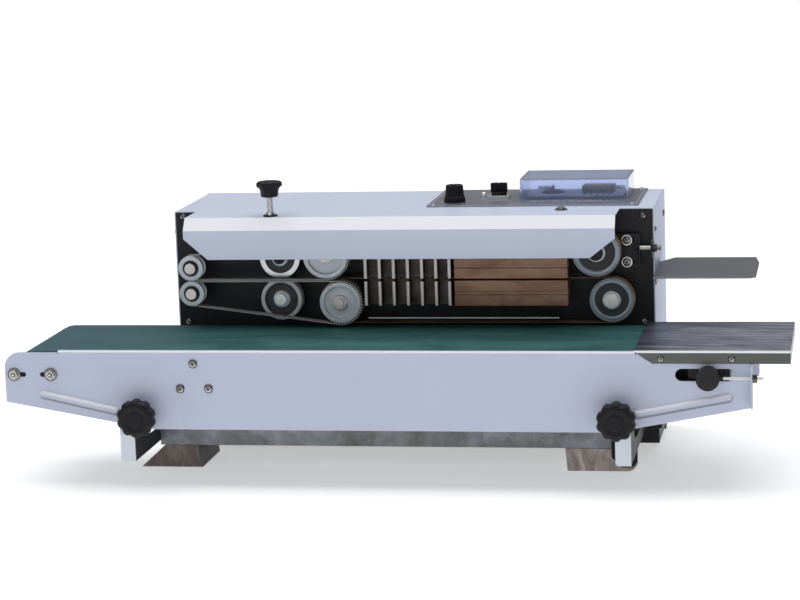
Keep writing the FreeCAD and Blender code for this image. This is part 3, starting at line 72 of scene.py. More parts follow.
# ---- finishes
class Finish:
    """A material with one Principled shader; each call adds a node and returns its socket."""

    def __init__(self, roughness=0.5, metallic=0.0, **settings):
        self.material = bpy.data.materials.new("finish")
        self.material.use_nodes = True
        self.tree = self.material.node_tree
        self.shader = self.tree.nodes["Principled BSDF"]
        self.shader.inputs["Roughness"].default_value = roughness
        self.shader.inputs["Metallic"].default_value = metallic
        for socket, value in settings.items():
            self.shader.inputs[socket.replace("_", " ").title().replace("Ior", "IOR")].default_value = value
        self.place = self.node("ShaderNodeTexCoord").outputs["Object"]

    def node(self, kind, inputs=None, **settings):
        made = self.tree.nodes.new(kind)
        for key, value in settings.items():
            setattr(made, key, value)
        for key, value in (inputs or {}).items():
            if isinstance(value, bpy.types.NodeSocket):
                self.tree.links.new(value, made.inputs[key])
            else:
                made.inputs[key].default_value = value
        return made

    def noise(self, scale, detail=3.0, stretch=(1, 1, 1), distortion=0.0):
        """Noise in metres; a stretch below 1 along an axis draws it out into grain that way."""
        place = self.node("ShaderNodeMapping", {"Vector": self.place, "Scale": stretch}).outputs["Vector"]
        inputs = {"Vector": place, "Scale": scale, "Detail": detail, "Roughness": 0.6, "Distortion": distortion}
        return self.node("ShaderNodeTexNoise", inputs).outputs["Fac"]

    def cells(self, scale, feature="F1"):
        made = self.node("ShaderNodeTexVoronoi", {"Vector": self.place, "Scale": scale}, feature=feature)
        return made.outputs["Color" if feature == "F1" else "Distance"]

    def bands(self, scale, direction, distortion=0.0):
        inputs = {"Vector": self.place, "Scale": scale, "Distortion": distortion, "Detail": 1.0}
        return self.node("ShaderNodeTexWave", inputs, bands_direction=direction).outputs["Fac"]

    def ramp(self, value, *stops):
        """Colours along a value: each stop is (position, grey or colour)."""
        made = self.node("ShaderNodeValToRGB", {"Fac": value})
        elements = made.color_ramp.elements
        while len(elements) < len(stops):
            elements.new(0.5)
        for element, (position, colour) in zip(elements, stops):
            element.position = position
            element.color = (*colour, 1) if isinstance(colour, tuple) else (colour, colour, colour, 1)
        return made.outputs["Color"]

    def span(self, value, low, high, start=0.0, end=1.0):
        """A value carried from the range start to end to the range low to high, and kept inside it."""
        inputs = {"Value": value, "From Min": start, "From Max": end, "To Min": low, "To Max": high}
        return self.node("ShaderNodeMapRange", inputs).outputs["Result"]

    def normal(self):
        return self.node("ShaderNodeNewGeometry").outputs["Normal"]

    def part(self, vector, axis):
        return self.node("ShaderNodeSeparateXYZ", {0: vector}).outputs[axis]

    def fade(self, value, low, high, start=0.3, end=0.7):
        return self.ramp(value, (start, low), (end, high))

    def along(self, axis, low, high):
        """A 0 to 1 value over a stretch of the row's X, Y or Z, in metres."""
        return self.span(self.part(self.place, axis), 0, 1, low, high)

    def facing(self, axis, low, high):
        """A 0 to 1 value from how far the surface turns towards an axis."""
        return self.span(self.part(self.normal(), axis), 0, 1, low, high)

    def maths(self, operation, a, b=0.0):
        return self.node("ShaderNodeMath", {0: a, 1: b}, operation=operation).outputs[0]

    def times(self, a, b):
        return self.maths("MULTIPLY", a, b)

    def plus(self, a, b):
        return self.maths("ADD", a, b)

    def mix(self, factor, a, b, blend="MIX"):
        """Blend of two colours; a plain tuple is a colour."""
        inputs = {0: factor}
        for socket, colour in ((6, a), (7, b)):
            inputs[socket] = (*colour, 1) if isinstance(colour, tuple) else colour
        return self.node("ShaderNodeMix", inputs, data_type="RGBA", blend_type=blend).outputs[2]

    def edges(self, radius):
        """The normal rounded over sharp edges, and a mask that is 1 along them."""
        rounded = self.node("ShaderNodeBevel", {"Radius": radius}, samples=4).outputs["Normal"]
        facing = self.node("ShaderNodeVectorMath", {0: rounded, 1: self.normal()}, operation="DOT_PRODUCT")
        return rounded, self.span(facing.outputs["Value"], 0, 1, 0.985, 0.86)

    def bump(self, height, depth, normal=None):
        inputs = {"Height": height, "Distance": depth}
        if normal:
            inputs["Normal"] = normal
        return self.node("ShaderNodeBump", inputs).outputs["Normal"]

    def done(self, **sockets):
        for name, socket in sockets.items():
            self.tree.links.new(socket, self.shader.inputs[name.replace("_", " ").title()])
        return self.material

    def worn(self, body, edge, share, rough, height, depth, radius=0.5, **sockets):
        """Finish with edges worn to another colour: rough is (value, low, high), depth and radius are in mm."""
        normal, mask = self.edges(radius * MM)
        return self.done(base_color=self.mix(self.times(mask, share), body, edge), roughness=self.span(*rough),
                         normal=self.bump(height, depth * MM, normal), **sockets)


def shade(colour, factor, lift=0.0):
    """The colour times a factor, plus a lift, no part of it above 1."""
    return tuple(min(1, c * factor + lift) for c in colour)


def speckled(mat, body, speck):
    return mat.mix(mat.ramp(mat.noise(420, 2), (0.66, 0.0), (0.74, 0.35)), body, speck)


def powder(mat, body, worn, roughness):
    """Orange peel and chipped edges over a body colour."""
    return mat.worn(body, worn, mat.noise(160, 2), (mat.noise(60, 3), roughness - 0.07, roughness + 0.09),
                    mat.noise(650, 2), 0.03, 0.7)


def paint(colour, worn, roughness, clouds=0.05, sheen=0.45):
    """Powder coat: soft clouds, fine orange peel, specks of dust and lighter edges."""
    mat = Finish(roughness, specular_ior_level=sheen)
    body = mat.fade(mat.noise(9, 4), shade(colour, 1 - clouds), shade(colour, 1 + clouds))
    return powder(mat, speckled(mat, body, shade(colour, 0.82)), worn, roughness)


def white_paint():
    """Bluish-white powder coat with painted light: paler head and uprights, painted highlights on sloping bends,
    painted shade on faces towards +X and underneath.
    """
    mat = Finish(0.38, specular_ior_level=0.45)
    clouds = mat.noise(9, 4)
    low = mat.fade(clouds, (0.51, 0.555, 0.70), (0.545, 0.59, 0.74))
    head = mat.fade(clouds, (0.60, 0.655, 0.81), (0.635, 0.69, 0.85))
    # Painted light: the head above about 0.15 m is painted paler than the lower body.
    body = mat.mix(mat.along("Z", 0.153, 0.2), low, head)
    # Painted light: white parts below about 6 cm, the uprights, are painted paler.
    body = mat.mix(mat.along("Z", 0.064, 0.057), body, (0.72, 0.78, 0.86))
    body = speckled(mat, body, (0.46, 0.5, 0.62))
    # Painted highlight on bends that slope up and to the front.
    painted_slope_highlight = mat.times(mat.facing("Z", 0.12, 0.5), mat.facing("Y", -0.15, -0.6))
    body = mat.mix(painted_slope_highlight, body, (0.86, 0.87, 0.94))
    # Painted shade on faces turned towards +X.
    body = mat.mix(mat.facing("X", 0.6, 0.9), body, (0.345, 0.415, 0.62))
    # Painted shade under faces that turn downwards.
    body = mat.mix(mat.facing("Z", -0.1, -0.55), body, (0.17, 0.185, 0.22))
    return powder(mat, body, (0.8, 0.83, 0.9), 0.38)


def plastic(colour, worn, roughness, grain=900, depth=0.03, sheen=0.5):
    """Moulded plastic or rubber: fine grain, a greyer bloom and paler handled edges."""
    mat = Finish(roughness, specular_ior_level=sheen)
    bloom = mat.ramp(mat.noise(35, 4), (0.35, colour), (0.75, tuple(c * 1.35 + 0.003 for c in colour)))
    return mat.worn(bloom, worn, mat.span(mat.noise(120, 2), 0.2, 0.9),
                    (mat.noise(90, 3), roughness - 0.08, roughness + 0.12), mat.noise(grain, 2), depth, 0.6)


def metal(colour, dark, roughness, grain=(1, 1, 1), scale=500, depth=0.02, metallic=1.0, stain=18):
    """Bare metal: grain stretched along the axis with the small factor, stains and bright edges."""
    mat = Finish(roughness, metallic)
    lines = mat.noise(scale, 3, grain)
    stains = mat.noise(stain, 5, distortion=0.4)
    body = mat.fade(lines, shade(colour, 0.86), colour)
    body = mat.mix(mat.ramp(stains, (0.45, 0.0), (0.75, 0.75)), body, dark)
    normal, mask = mat.edges(0.5 * MM)
    rough = mat.plus(mat.span(stains, -0.06, 0.08), mat.span(lines, roughness - 0.08, roughness + 0.1))
    body = mat.mix(mat.times(mask, 0.7), body, shade(colour, 1.35, 0.05))
    return mat.done(base_color=body, roughness=rough, normal=mat.bump(lines, depth * MM, normal))


def screw_steel():
    """Plated fasteners with painted reflection: bright, mottled flats and crowns between dark curved shoulders."""
    mat = Finish(0.26, 1.0)
    x, y, z = [mat.maths("ABSOLUTE", mat.part(mat.normal(), axis)) for axis in "XYZ"]
    # Painted reflection: faces square to an axis are bright, curved shoulders dark.
    painted_reflection_mask = mat.span(mat.maths("MAXIMUM", mat.maths("MAXIMUM", x, y), z), 0, 1, 0.86, 0.97)
    stains = mat.ramp(mat.noise(260, 3), (0.4, (0.6, 0.6, 0.59)), (0.7, (0.4, 0.39, 0.38)))
    return mat.done(base_color=mat.mix(painted_reflection_mask, (0.09, 0.088, 0.088), stains),
                    roughness=mat.span(mat.noise(300, 3), 0.2, 0.36),
                    normal=mat.bump(mat.noise(900, 2), 0.02 * MM))


def dark_steel():
    """Blackened brackets and plates, the bare tension screw, and the paler infeed plate."""
    mat = Finish(0.42, 0.85)
    lines = mat.noise(500, 3, (0.06, 1, 1))
    pale = mat.fade(lines, (0.19, 0.19, 0.205), (0.27, 0.27, 0.285))
    black = mat.fade(mat.noise(40, 4), (0.012, 0.012, 0.014), (0.03, 0.029, 0.031))
    body = mat.mix(mat.along("X", 0.2512, 0.2514), black, (0.62, 0.61, 0.58))
    body = mat.mix(mat.along("X", 0.2662, 0.2664), body, pale)
    return mat.worn(body, (0.3, 0.3, 0.31), 0.5, (lines, 0.34, 0.52), lines, 0.02)


def black_oxide():
    """Black tension knobs and slides; their screws are bright."""
    mat = Finish(0.4, specular_ior_level=0.3)
    wear = mat.fade(mat.noise(45, 4), (0.007, 0.0065, 0.008), (0.016, 0.015, 0.017))
    bright = mat.along("X", 0.3488, 0.3490)
    normal, mask = mat.edges(0.5 * MM)
    body = mat.mix(mat.times(mask, 0.6), wear, (0.06, 0.06, 0.066))
    return mat.done(base_color=mat.mix(bright, body, (0.66, 0.64, 0.6)), metallic=bright,
                    roughness=mat.span(mat.noise(90, 3), 0.32, 0.5),
                    normal=mat.bump(mat.noise(600, 2), 0.03 * MM, normal))


def roller_steel():
    """Turned rollers with blackened end caps."""
    mat = Finish(0.32, 0.9)
    lines = mat.noise(600, 3, (1, 0.1, 1))
    body = mat.fade(lines, (0.42, 0.43, 0.44), (0.52, 0.53, 0.54))
    ends = mat.maths("ABSOLUTE", mat.facing("Y", -1.0, 1.0))
    ends = mat.ramp(ends, (0.0, 1.0), (0.06, 0.0), (0.94, 0.0), (1.0, 1.0))
    body = mat.mix(ends, body, (0.02, 0.02, 0.022))
    return mat.done(base_color=body, roughness=mat.span(lines, 0.25, 0.42),
                    normal=mat.bump(lines, 0.02 * MM))


def galvanised_steel():
    """Zinc-plated bar gone dull: crystal patches, grime in clouds and scratches."""
    mat = Finish(0.5, 0.55)
    patches = mat.ramp(mat.cells(130), (0.0, (0.2, 0.21, 0.235)), (1.0, (0.31, 0.32, 0.345)))
    grime = mat.ramp(mat.noise(26, 5, distortion=0.6), (0.42, 0.0), (0.7, 0.8))
    body = mat.mix(grime, patches, (0.15, 0.145, 0.128))
    scratches = mat.noise(700, 2, (0.05, 1, 1))
    return mat.worn(body, (0.3, 0.31, 0.33), 0.5, (grime, 0.38, 0.62), scratches, 0.04, 0.8)


def foot_steel():
    """Worn stainless feet with a warm, streaked surface, painted shade on the left foot and on faces towards +X."""
    mat = Finish(0.45, 0.6)
    streaks = mat.noise(60, 5, (1, 1, 0.35), distortion=1.2)
    body = mat.ramp(streaks, (0.3, (0.22, 0.17, 0.15)), (0.52, (0.42, 0.36, 0.335)), (0.75, (0.67, 0.6, 0.56)))
    # Painted shade: the left foot is darker than the right.
    body = mat.mix(mat.along("X", 0.1, -0.1), body, (0.42, 0.395, 0.39), "MULTIPLY")
    # Painted shade: faces turned towards +X are nearly black.
    body = mat.mix(mat.facing("X", 0.3, 0.7), body, (0.02, 0.017, 0.016))
    return mat.worn(body, (0.42, 0.3, 0.26), 0.6, (streaks, 0.32, 0.55), streaks, 0.1, 0.6)


def tray_steel():
    """Rolled stainless tray: wavy dark streaks along it, partly rolling marks and partly painted reflection, darker
    towards its left end, painted shade on its front edge and a painted highlight on its front bend.
    """
    mat = Finish(0.36, 0.8)
    waves = mat.noise(120, 5, (0.13, 1.2, 1), distortion=0.9)
    slow = mat.noise(12, 3, (0.4, 1, 1))
    fine = mat.noise(420, 3, (0.06, 1, 1))
    mixed = mat.plus(mat.times(waves, 0.8), mat.times(slow, 0.2))
    # The wavy streaks are partly rolling marks and partly painted reflection.
    body = mat.ramp(mixed, (0.38, (0.13, 0.136, 0.168)), (0.5, (0.31, 0.325, 0.41)), (0.62, (0.54, 0.565, 0.69)))
    body = mat.mix(mat.along("X", TRAY_EDGE.x + 0.035, TRAY_EDGE.x), body, (0.46, 0.47, 0.52), "MULTIPLY")
    body = mat.mix(0.25, body, mat.ramp(fine, (0.35, 0.3), (0.65, 0.85)), "MULTIPLY")
    # Painted shade on faces turned to the front.
    body = mat.mix(mat.facing("Y", -0.4, -0.8), body, (0.105, 0.112, 0.105))
    # Painted highlight along the front bend; it also lowers the metallic value there.
    bend = mat.times(mat.along("Z", TRAY_EDGE.z - 0.0022, TRAY_EDGE.z - 0.0016),
                        mat.along("Y", TRAY_EDGE.y + 0.004, TRAY_EDGE.y + 0.002))
    body = mat.mix(bend, body, (0.92, 0.93, 0.97))
    ripple = mat.plus(mat.times(waves, 3.0), fine)
    return mat.worn(body, (0.8, 0.81, 0.85), 0.7, (waves, 0.3, 0.46), ripple, 0.04, 0.6,
                    metallic=mat.span(bend, 0.8, 0.1))


def control_plate():
    """Dark anodised control plate, brushed lengthways."""
    mat = Finish(0.36, 0.75)
    brushed = mat.noise(900, 3, (0.03, 1, 1))
    wide = mat.noise(120, 3, (0.12, 1, 1))
    body = mat.fade(brushed, (0.21, 0.22, 0.255), (0.33, 0.35, 0.4))
    body = mat.mix(0.5, body, mat.ramp(wide, (0.35, (0.22, 0.235, 0.27)), (0.7, (0.38, 0.4, 0.46))))
    return mat.worn(body, (0.5, 0.52, 0.56), 1.0, (wide, 0.28, 0.48), brushed, 0.02)


def heater_brass():
    """Brass heating block, heat-tinted from copper to brown."""
    mat = Finish(0.42, 0.7)
    tint = mat.noise(28, 5, (0.5, 1, 1), distortion=0.5)
    body = mat.ramp(tint, (0.3, (0.1, 0.055, 0.038)), (0.52, (0.24, 0.135, 0.092)), (0.75, (0.36, 0.235, 0.17)))
    lines = mat.noise(600, 2, (0.05, 1, 1))
    return mat.worn(body, (0.75, 0.58, 0.42), 0.6, (tint, 0.3, 0.55), lines, 0.03)


def weave(mat, pitch):
    """Threads both ways at the pitch in mm."""
    threads = tau / (pitch * MM) / 20
    return mat.times(mat.bands(threads, "X", 0.4), mat.bands(threads, "Y", 0.4))


def ptfe_band():
    """Brown woven sealing band under slow mottling."""
    mat = Finish(0.38)
    threads = weave(mat, 0.8)
    clouds = mat.noise(30, 5, (0.35, 1, 1), distortion=0.5)
    blotch = mat.plus(mat.times(clouds, 0.75), mat.times(mat.noise(260, 3), 0.25))
    body = mat.ramp(blotch, (0.36, (0.17, 0.1, 0.055)), (0.64, (0.36, 0.235, 0.14)))
    body = mat.mix(mat.span(threads, 0.35, 0.0), body, (0.0765, 0.045, 0.02475))
    return mat.done(base_color=body, roughness=mat.span(clouds, 0.28, 0.48),
                    normal=mat.bump(threads, 0.05 * MM))


def cooler_aluminium():
    """Cooling block: machined fin faces, and mottled painted shade on the body between the fins."""
    mat = Finish(0.4, 0.75)
    lines = mat.noise(520, 3, (1, 1, 0.06))
    bright = mat.fade(lines, (0.42, 0.39, 0.38), (0.6, 0.57, 0.55))
    # Painted shade, mottled, on the body behind the fin faces.
    painted_fin_shade = mat.ramp(mat.noise(45, 4), (0.35, (0.035, 0.03, 0.028)), (0.7, (0.1, 0.085, 0.08)))
    depth = mat.along("Y", FIN_FRONT, FIN_FRONT + 0.004)
    body = mat.mix(depth, bright, painted_fin_shade)
    return mat.worn(body, (0.62, 0.6, 0.58), 0.5, (lines, 0.32, 0.5), lines, 0.02)


def belt_green():
    """Fabric-faced belt: fine weave, teal mottling, and a painted sheen, paler and bluer, at the outfeed end."""
    mat = Finish(0.55, specular_ior_level=0.3)
    threads = weave(mat, 1.1)
    clouds = mat.noise(26, 6, (0.3, 1, 1), distortion=0.7)
    blotch = mat.plus(mat.times(clouds, 0.7), mat.times(mat.noise(240, 4), 0.3))
    body = mat.ramp(blotch, (0.36, (0.016, 0.086, 0.08)), (0.5, (0.033, 0.14, 0.132)), (0.66, (0.064, 0.2, 0.19)))
    # Painted sheen: paler and bluer towards the outfeed end.
    worn = mat.times(mat.along("X", -0.16, -0.40), mat.span(clouds, 0.55, 1.15))
    body = mat.mix(worn, body, (0.062, 0.135, 0.175))
    body = mat.mix(mat.span(threads, 0.3, 0.0), body, (0.007, 0.032, 0.034))
    return mat.done(base_color=body, roughness=mat.span(clouds, 0.45, 0.65),
                    normal=mat.bump(threads, 0.12 * MM))


def circuit_green():
    mat = Finish(0.35)
    tracks = mat.cells(160, "DISTANCE_TO_EDGE")
    tracks = mat.ramp(tracks, (0.02, (0.03, 0.16, 0.07)), (0.06, (0.01, 0.08, 0.035)))
    return mat.done(base_color=tracks, roughness=mat.span(mat.noise(80), 0.25, 0.5),
                    normal=mat.bump(mat.noise(300), 0.05 * MM))


def clear_lid():
    """Clear blue-tinted moulding with fine scuffs."""
    mat = Finish(0.06, transmission_weight=0.9, ior=1.46)
    tint = mat.fade(mat.noise(40, 3), (0.65, 0.725, 0.95), (0.7, 0.77, 0.97))
    normal, mask = mat.edges(0.9 * MM)
    return mat.done(base_color=mat.mix(mat.times(mask, 0.85), tint, (0.1, 0.13, 0.34)),
                    roughness=mat.span(mat.noise(300, 4), 0.03, 0.16), normal=normal)


def display():
    """Dark red display lens with an even inner light."""
    mat = Finish(0.2, emission_strength=0.25, coat_weight=0.6)
    face = mat.fade(mat.noise(500, 2), (0.05, 0.008, 0.006), (0.22, 0.03, 0.02))
    return mat.done(base_color=face, emission_color=face, roughness=mat.span(mat.noise(90), 0.12, 0.3))


FINISHES = {
    "black_paint": paint((0.011, 0.01, 0.013), (0.06, 0.06, 0.068), 0.45, 0.25, 0.3),
    "black_plastic": plastic((0.006, 0.0055, 0.008), (0.025, 0.025, 0.03), 0.46, sheen=0.22),
    "black_rubber": plastic((0.02, 0.02, 0.021), (0.07, 0.068, 0.065), 0.8, 400, 0.08),
    "chrome_trim": metal((0.72, 0.73, 0.75), (0.4, 0.4, 0.42), 0.16, depth=0.005),
    "motor_metal": paint((0.12, 0.125, 0.135), (0.35, 0.35, 0.36), 0.48, 0.15),
    "shaft_steel": metal((0.58, 0.58, 0.57), (0.26, 0.24, 0.22), 0.28, scale=700),
    "guide_belt": plastic((0.9, 0.9, 0.86), (0.95, 0.95, 0.93), 0.5, 300, 0.1),
    "chain_steel": metal((0.3, 0.28, 0.25), (0.09, 0.07, 0.05), 0.34),
    "wheel_aluminium": metal((0.68, 0.69, 0.7), (0.38, 0.38, 0.39), 0.26, (1, 0.15, 1), 700),
    "silicone_white": plastic((0.6, 0.61, 0.6), (0.72, 0.72, 0.7), 0.5, 350, 0.06),
    "washer_grey": metal((0.2, 0.2, 0.2), (0.09, 0.085, 0.085), 0.4),
    # Painted shade for the guide belts' tooth flanks and grooves.
    "belt_groove": plastic((0.16, 0.16, 0.15), (0.24, 0.24, 0.23), 0.6, 300, 0.1),
    "pulley_pale": metal((0.68, 0.73, 0.8), (0.45, 0.48, 0.53), 0.42, metallic=0.35),
    "rim_blue": metal((0.3, 0.36, 0.42), (0.16, 0.19, 0.22), 0.36, (1, 0.15, 1), metallic=0.6),
    "web_black": plastic((0.03, 0.032, 0.036), (0.12, 0.12, 0.13), 0.5, 500, 0.05),
    "print_white": plastic((0.62, 0.63, 0.63), (0.7, 0.7, 0.7), 0.5, 400, 0.02),
    "case_grey": plastic((0.36, 0.38, 0.4), (0.5, 0.51, 0.53), 0.5),
}
for make in (white_paint, screw_steel, galvanised_steel, foot_steel, control_plate, circuit_green,
             heater_brass, cooler_aluminium, ptfe_band, dark_steel, clear_lid, belt_green, tray_steel,
             roller_steel, black_oxide, display):
    FINISHES[make.__name__] = make()
for name, material in FINISHES.items():
    material.name = "finish_" + name


def soften(node, width, angle=32):
    """Give a CAD node small rounded edges by modifiers; its own vertices stay as they are."""
    piece = frame["nodes"][node]
    mesh = piece.data
    custom = mesh.attributes.get("custom_normal")
    if custom:
        mesh.attributes.remove(custom)
    mesh.polygons.foreach_set("use_smooth", [True] * len(mesh.polygons))
    piece.modifiers.new("weld", "WELD").merge_threshold = 0.005 * MM
    flat = piece.modifiers.new("flat", "DECIMATE")
    flat.decimate_type = "DISSOLVE"
    flat.angle_limit = radians(0.4)
    bevel = piece.modifiers.new("bevel", "BEVEL")
    bevel.width = width * MM
    bevel.segments = 2
    bevel.limit_method = "ANGLE"
    bevel.angle_limit = radians(angle)
    bevel.harden_normals = True


SOFT_EDGES = {
    0.25: "conveyor_front_plate",
    0.3: "rear_cover mechanism_panel infeed_tray control_plate support_arms front_feet infeed_plate "
         "upper_cooling_block lower_cooling_block conveyor_rear_plate tension_plate press_arm",
    0.4: "front_cover support_uprights upper_heating_block lower_heating_block tension_block power_inlet",
    0.5: "housing cross_bar base_tray guard_strip controller_lid",
    0.6: "fan_frame",
    0.8: "bar_end_block",
}
for width, nodes in SOFT_EDGES.items():
    for name in nodes.split():
        soften(name, width)
for piece in frame["nodes"].values():
    slot = piece.data.materials[0].name.split(".")[0]
    piece.data.materials[0] = FINISHES[slot]


# ---- mesh helpers
def mm(x, y, z):
    return Vector((x, y, z)) * MM


def centre_of(node):
    low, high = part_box(node)
    return (low + high) / 2


def radius_of(node):
    """Half of a node's width in mm."""
    low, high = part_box(node)
    return (high.x - low.x) / 2 / MM


def placed(point, direction):
    """Matrix that carries the Z axis to a direction and the origin to a point."""
    return Matrix.Translation(point) @ direction.to_track_quat("Z", "Y").to_matrix().to_4x4()


def show(name, data):
    """A new object in the scene."""
    made = bpy.data.objects.new(name, data)
    bpy.context.scene.collection.objects.link(made)
    return made


def add_piece(name, work, body, finishes, replaces=None, angle=35):
    """Turn a bmesh in row metres into a piece that rides on a body; its first finish gives its slot."""
    bmesh.ops.recalc_face_normals(work, faces=work.faces)
    mesh = bpy.data.meshes.new(name)
    work.to_mesh(mesh)
    work.free()
    for finish in finishes.split():
        mesh.materials.append(FINISHES[finish])
    mesh.polygons.foreach_set("use_smooth", [True] * len(mesh.polygons))
    mesh.set_sharp_from_angle(angle=radians(angle))
    piece = show(name, mesh)
    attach(piece, body)
    if replaces:
        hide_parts(replaces)
    return piece


def rounded(points, radius, steps=3):
    """The open outline with each inner corner eased by a short curve."""
    points = [Vector(p) for p in points]
    eased = [points[0]]
    for before, corner, after in zip(points, points[1:], points[2:]):
        reach = min(radius, (before - corner).length * 0.45, (after - corner).length * 0.45)
        start = corner + (before - corner).normalized() * reach
        end = corner + (after - corner).normalized() * reach
        for k in range(steps + 1):
            t = k / steps
            eased.append(start.lerp(corner, t).lerp(corner.lerp(end, t), t))
    return eased + [points[-1]]


def turn(work, profile, matrix, segments=48, reshape=None, finish_at=None):
    """Add a profile of (radius, height) in mm, turned about Z, to a bmesh; return its rings."""
    rings = []
    for radius, height in profile:
        if radius < 1e-6:
            rings.append([work.verts.new(matrix @ Vector((0, 0, height * MM)))])
            continue
        ring = []
        for k in range(segments):
            angle = tau * k / segments
            r, h = reshape(angle, radius, height) if reshape else (radius, height)
            ring.append(work.verts.new(matrix @ Vector((r * cos(angle) * MM, r * sin(angle) * MM, h * MM))))
        rings.append(ring)
    for index, (low, high) in enumerate(zip(rings, rings[1:])):
        for k in range(segments):
            corners = [low[k % len(low)], low[(k + 1) % len(low)], high[(k + 1) % len(high)], high[k % len(high)]]
            corners = list(dict.fromkeys(corners))
            if len(corners) < 3:
                continue
            face = work.faces.new(corners)
            if finish_at:
                face.material_index = finish_at(index, (profile[index][0] + profile[index + 1][0]) / 2)
    return rings


def tube(work, rings):
    """Join equal rings of vertices into a solid with flat ends."""
    for ring, after in zip(rings, rings[1:]):
        for k in range(len(ring)):
            j = (k + 1) % len(ring)
            work.faces.new((ring[k], ring[j], after[j], after[k]))
    work.faces.new(rings[0])
    work.faces.new(rings[-1][::-1])


def soft_block(work, low, high, radius, segments=3, finish=0):
    """Add a block between two corners, its edges rounded by a radius in mm."""
    size = high - low
    matrix = Matrix.Translation((low + high) / 2) @ Matrix.Diagonal((*size, 1))
    made = bmesh.ops.create_cube(work, size=1, matrix=matrix)
    edges = list({edge for vert in made["verts"] for edge in vert.link_edges})
    done = bmesh.ops.bevel(work, geom=edges, offset=radius * MM, segments=segments, profile=0.5, affect="EDGES")
    faces = set(done["faces"]) | {face for vert in done["verts"] for face in vert.link_faces}
    for face in faces:
        face.material_index = finish


def solids(node):
    """Lowest and highest corners of each separate solid in a CAD node."""
    work = bmesh.new()
    work.from_mesh(frame["nodes"][node].data)
    bmesh.ops.remove_doubles(work, verts=work.verts, dist=0.005 * MM)
    left, boxes = set(work.verts), []
    while left:
        stack, found = [left.pop()], []
        while stack:
            vert = stack.pop()
            found.append(vert.co)
            for edge in vert.link_edges:
                other = edge.other_vert(vert)
                if other in left:
                    left.remove(other)
                    stack.append(other)
        boxes.append((Vector(map(min, zip(*found))), Vector(map(max, zip(*found)))))
    work.free()
    return sorted(boxes, key=lambda b: tuple(b[0]))


# ---- fasteners
def pan_head(work, matrix, radius, height):
    """Round head with a cross recess, its seat at the matrix's origin."""
    dome = [(radius * cos(a), height * (0.22 + 0.78 * sin(a)))
            for a in [pi / 2 * k / 13 for k in range(13)]]
    recess = radius * 0.44

    def cross(angle, r, h):
        across = min(abs(cos(angle)), abs(sin(angle))) * r
        along = max(abs(cos(angle)), abs(sin(angle))) * r
        if along < recess and across < radius * 0.15:
            h -= height * 0.5 * (1 - (along / recess) ** 2) + height * 0.1
        return r, h
    turn(work, [(radius * 0.98, 0)] + dome + [(0, height * 0.3)], matrix, 40, cross)


def hex_nut(work, matrix, radius, height, bore):
    """Nut with chamfered corners; radius is to its corners."""
    def hexed(angle, r, h):
        flat = radius * cos(pi / 6) / cos((angle + tau) % (tau / 6) - tau / 12)
        return (min(r, flat), h) if r > bore * 1.2 else (r, h)
    profile = [(bore, 0), (radius, 0), (radius, height - 0.5), (radius * 0.86, height), (bore * 1.25, height),
               (bore, height - 0.4), (bore, 0)]
    turn(work, profile, matrix, 48, hexed)


def washer(work, matrix, radius, bore, thickness, finish=0):
    profile = rounded([(bore, 0), (radius, 0), (radius, thickness), (bore, thickness)], 0.25)
    turn(work, profile + profile[:1], matrix, 40, finish_at=lambda *_: finish)


def stud_end(work, matrix, radius, start, length):
    """Threaded end: fine ridges and a chamfered tip."""
    profile = [(0, start), (radius * 0.9, start)]
    height = start
    while height < length - 0.9:
        profile += [(radius, height + 0.25), (radius * 0.88, height + 0.5)]
        height += 0.5
    turn(work, profile + [(radius * 0.7, length), (0, length)], matrix, 24)


def fastener(work, low, high, middle):
    """Remake one packed fastener from its box: which kind it is follows from its proportions."""
    size = (high - low) / MM
    centre = (low + high) / 2
    axis = next((i for i in range(3) if abs(size[(i + 1) % 3] - size[(i + 2) % 3]) < 0.08), 0)
    length, radius = size[axis], size[(axis + 1) % 3] / 2
    side = 1 if axis == 2 or centre[axis] > middle[axis] else -1
    outward = (X, Y, Z)[axis] * side
    inner = centre - outward * length / 2 * MM

    def at(distance):
        return placed(inner + outward * distance * MM, outward)

    if abs(size[1] - size[2]) > 0.4 and size[0] < 6:  # tension nut
        hex_nut(work, placed(Vector((low.x, centre.y, centre.z)), X), size[1] / 2, size[0], 1.55)
    elif length < 3:  # pan head
        pan_head(work, at(0), radius, length)
    elif axis == 2:  # cover bolt
        washer(work, at(length - 3.8), radius, 3.0, 1.2, 1)
        pan_head(work, at(length - 2.6), 4.8, 2.6)
        turn(work, [(0, 0), (3, 0), (3, length - 1), (0, length - 1)], at(0), 24)
    elif radius > 7.6:  # clamp stud
        turn(work, [(0, 0)] + rounded([(8, 0), (8, 4.7), (4, 4.7), (4, length - 0.8), (3.4, length)], 0.3)
             + [(0, length)], at(0), 32)
    elif radius > 6.3:  # slot screw: washer, nut, stud
        turn(work, [(0, 0), (2.4, 0), (2.4, 1.5), (0, 1.5)], at(0), 24)
        washer(work, at(1.5), radius, 2.4, 1.1, 1)
        washer(work, at(2.6), radius * 0.74, 2.4, 0.6)
        hex_nut(work, at(3.2), 4.9, 2.3, 2.1)
        stud_end(work, at(1.5), 2.05, 0.2, 4.9)
    else:  # guide screw of the plate
        pan_head(work, at(length - 2.6), 4.6, 2.6)
        washer(work, at(length - 3.9), radius, 2.5, 1.3)
        turn(work, [(0, 0), (5, 0), (5, 5.2), (2.5, 5.2), (2.5, length - 2), (0, length - 2)], at(0), 32)


def all_fasteners():
    for node, body in (("panel_screws", "root"), ("conveyor_screws", "conveyor")):
        low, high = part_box(node)
        work = bmesh.new()
        for solid_low, solid_high in solids(node):
            fastener(work, solid_low, solid_high, (low + high) / 2)
        add_piece(node + "_detailed", work, body, "screw_steel washer_grey", node)


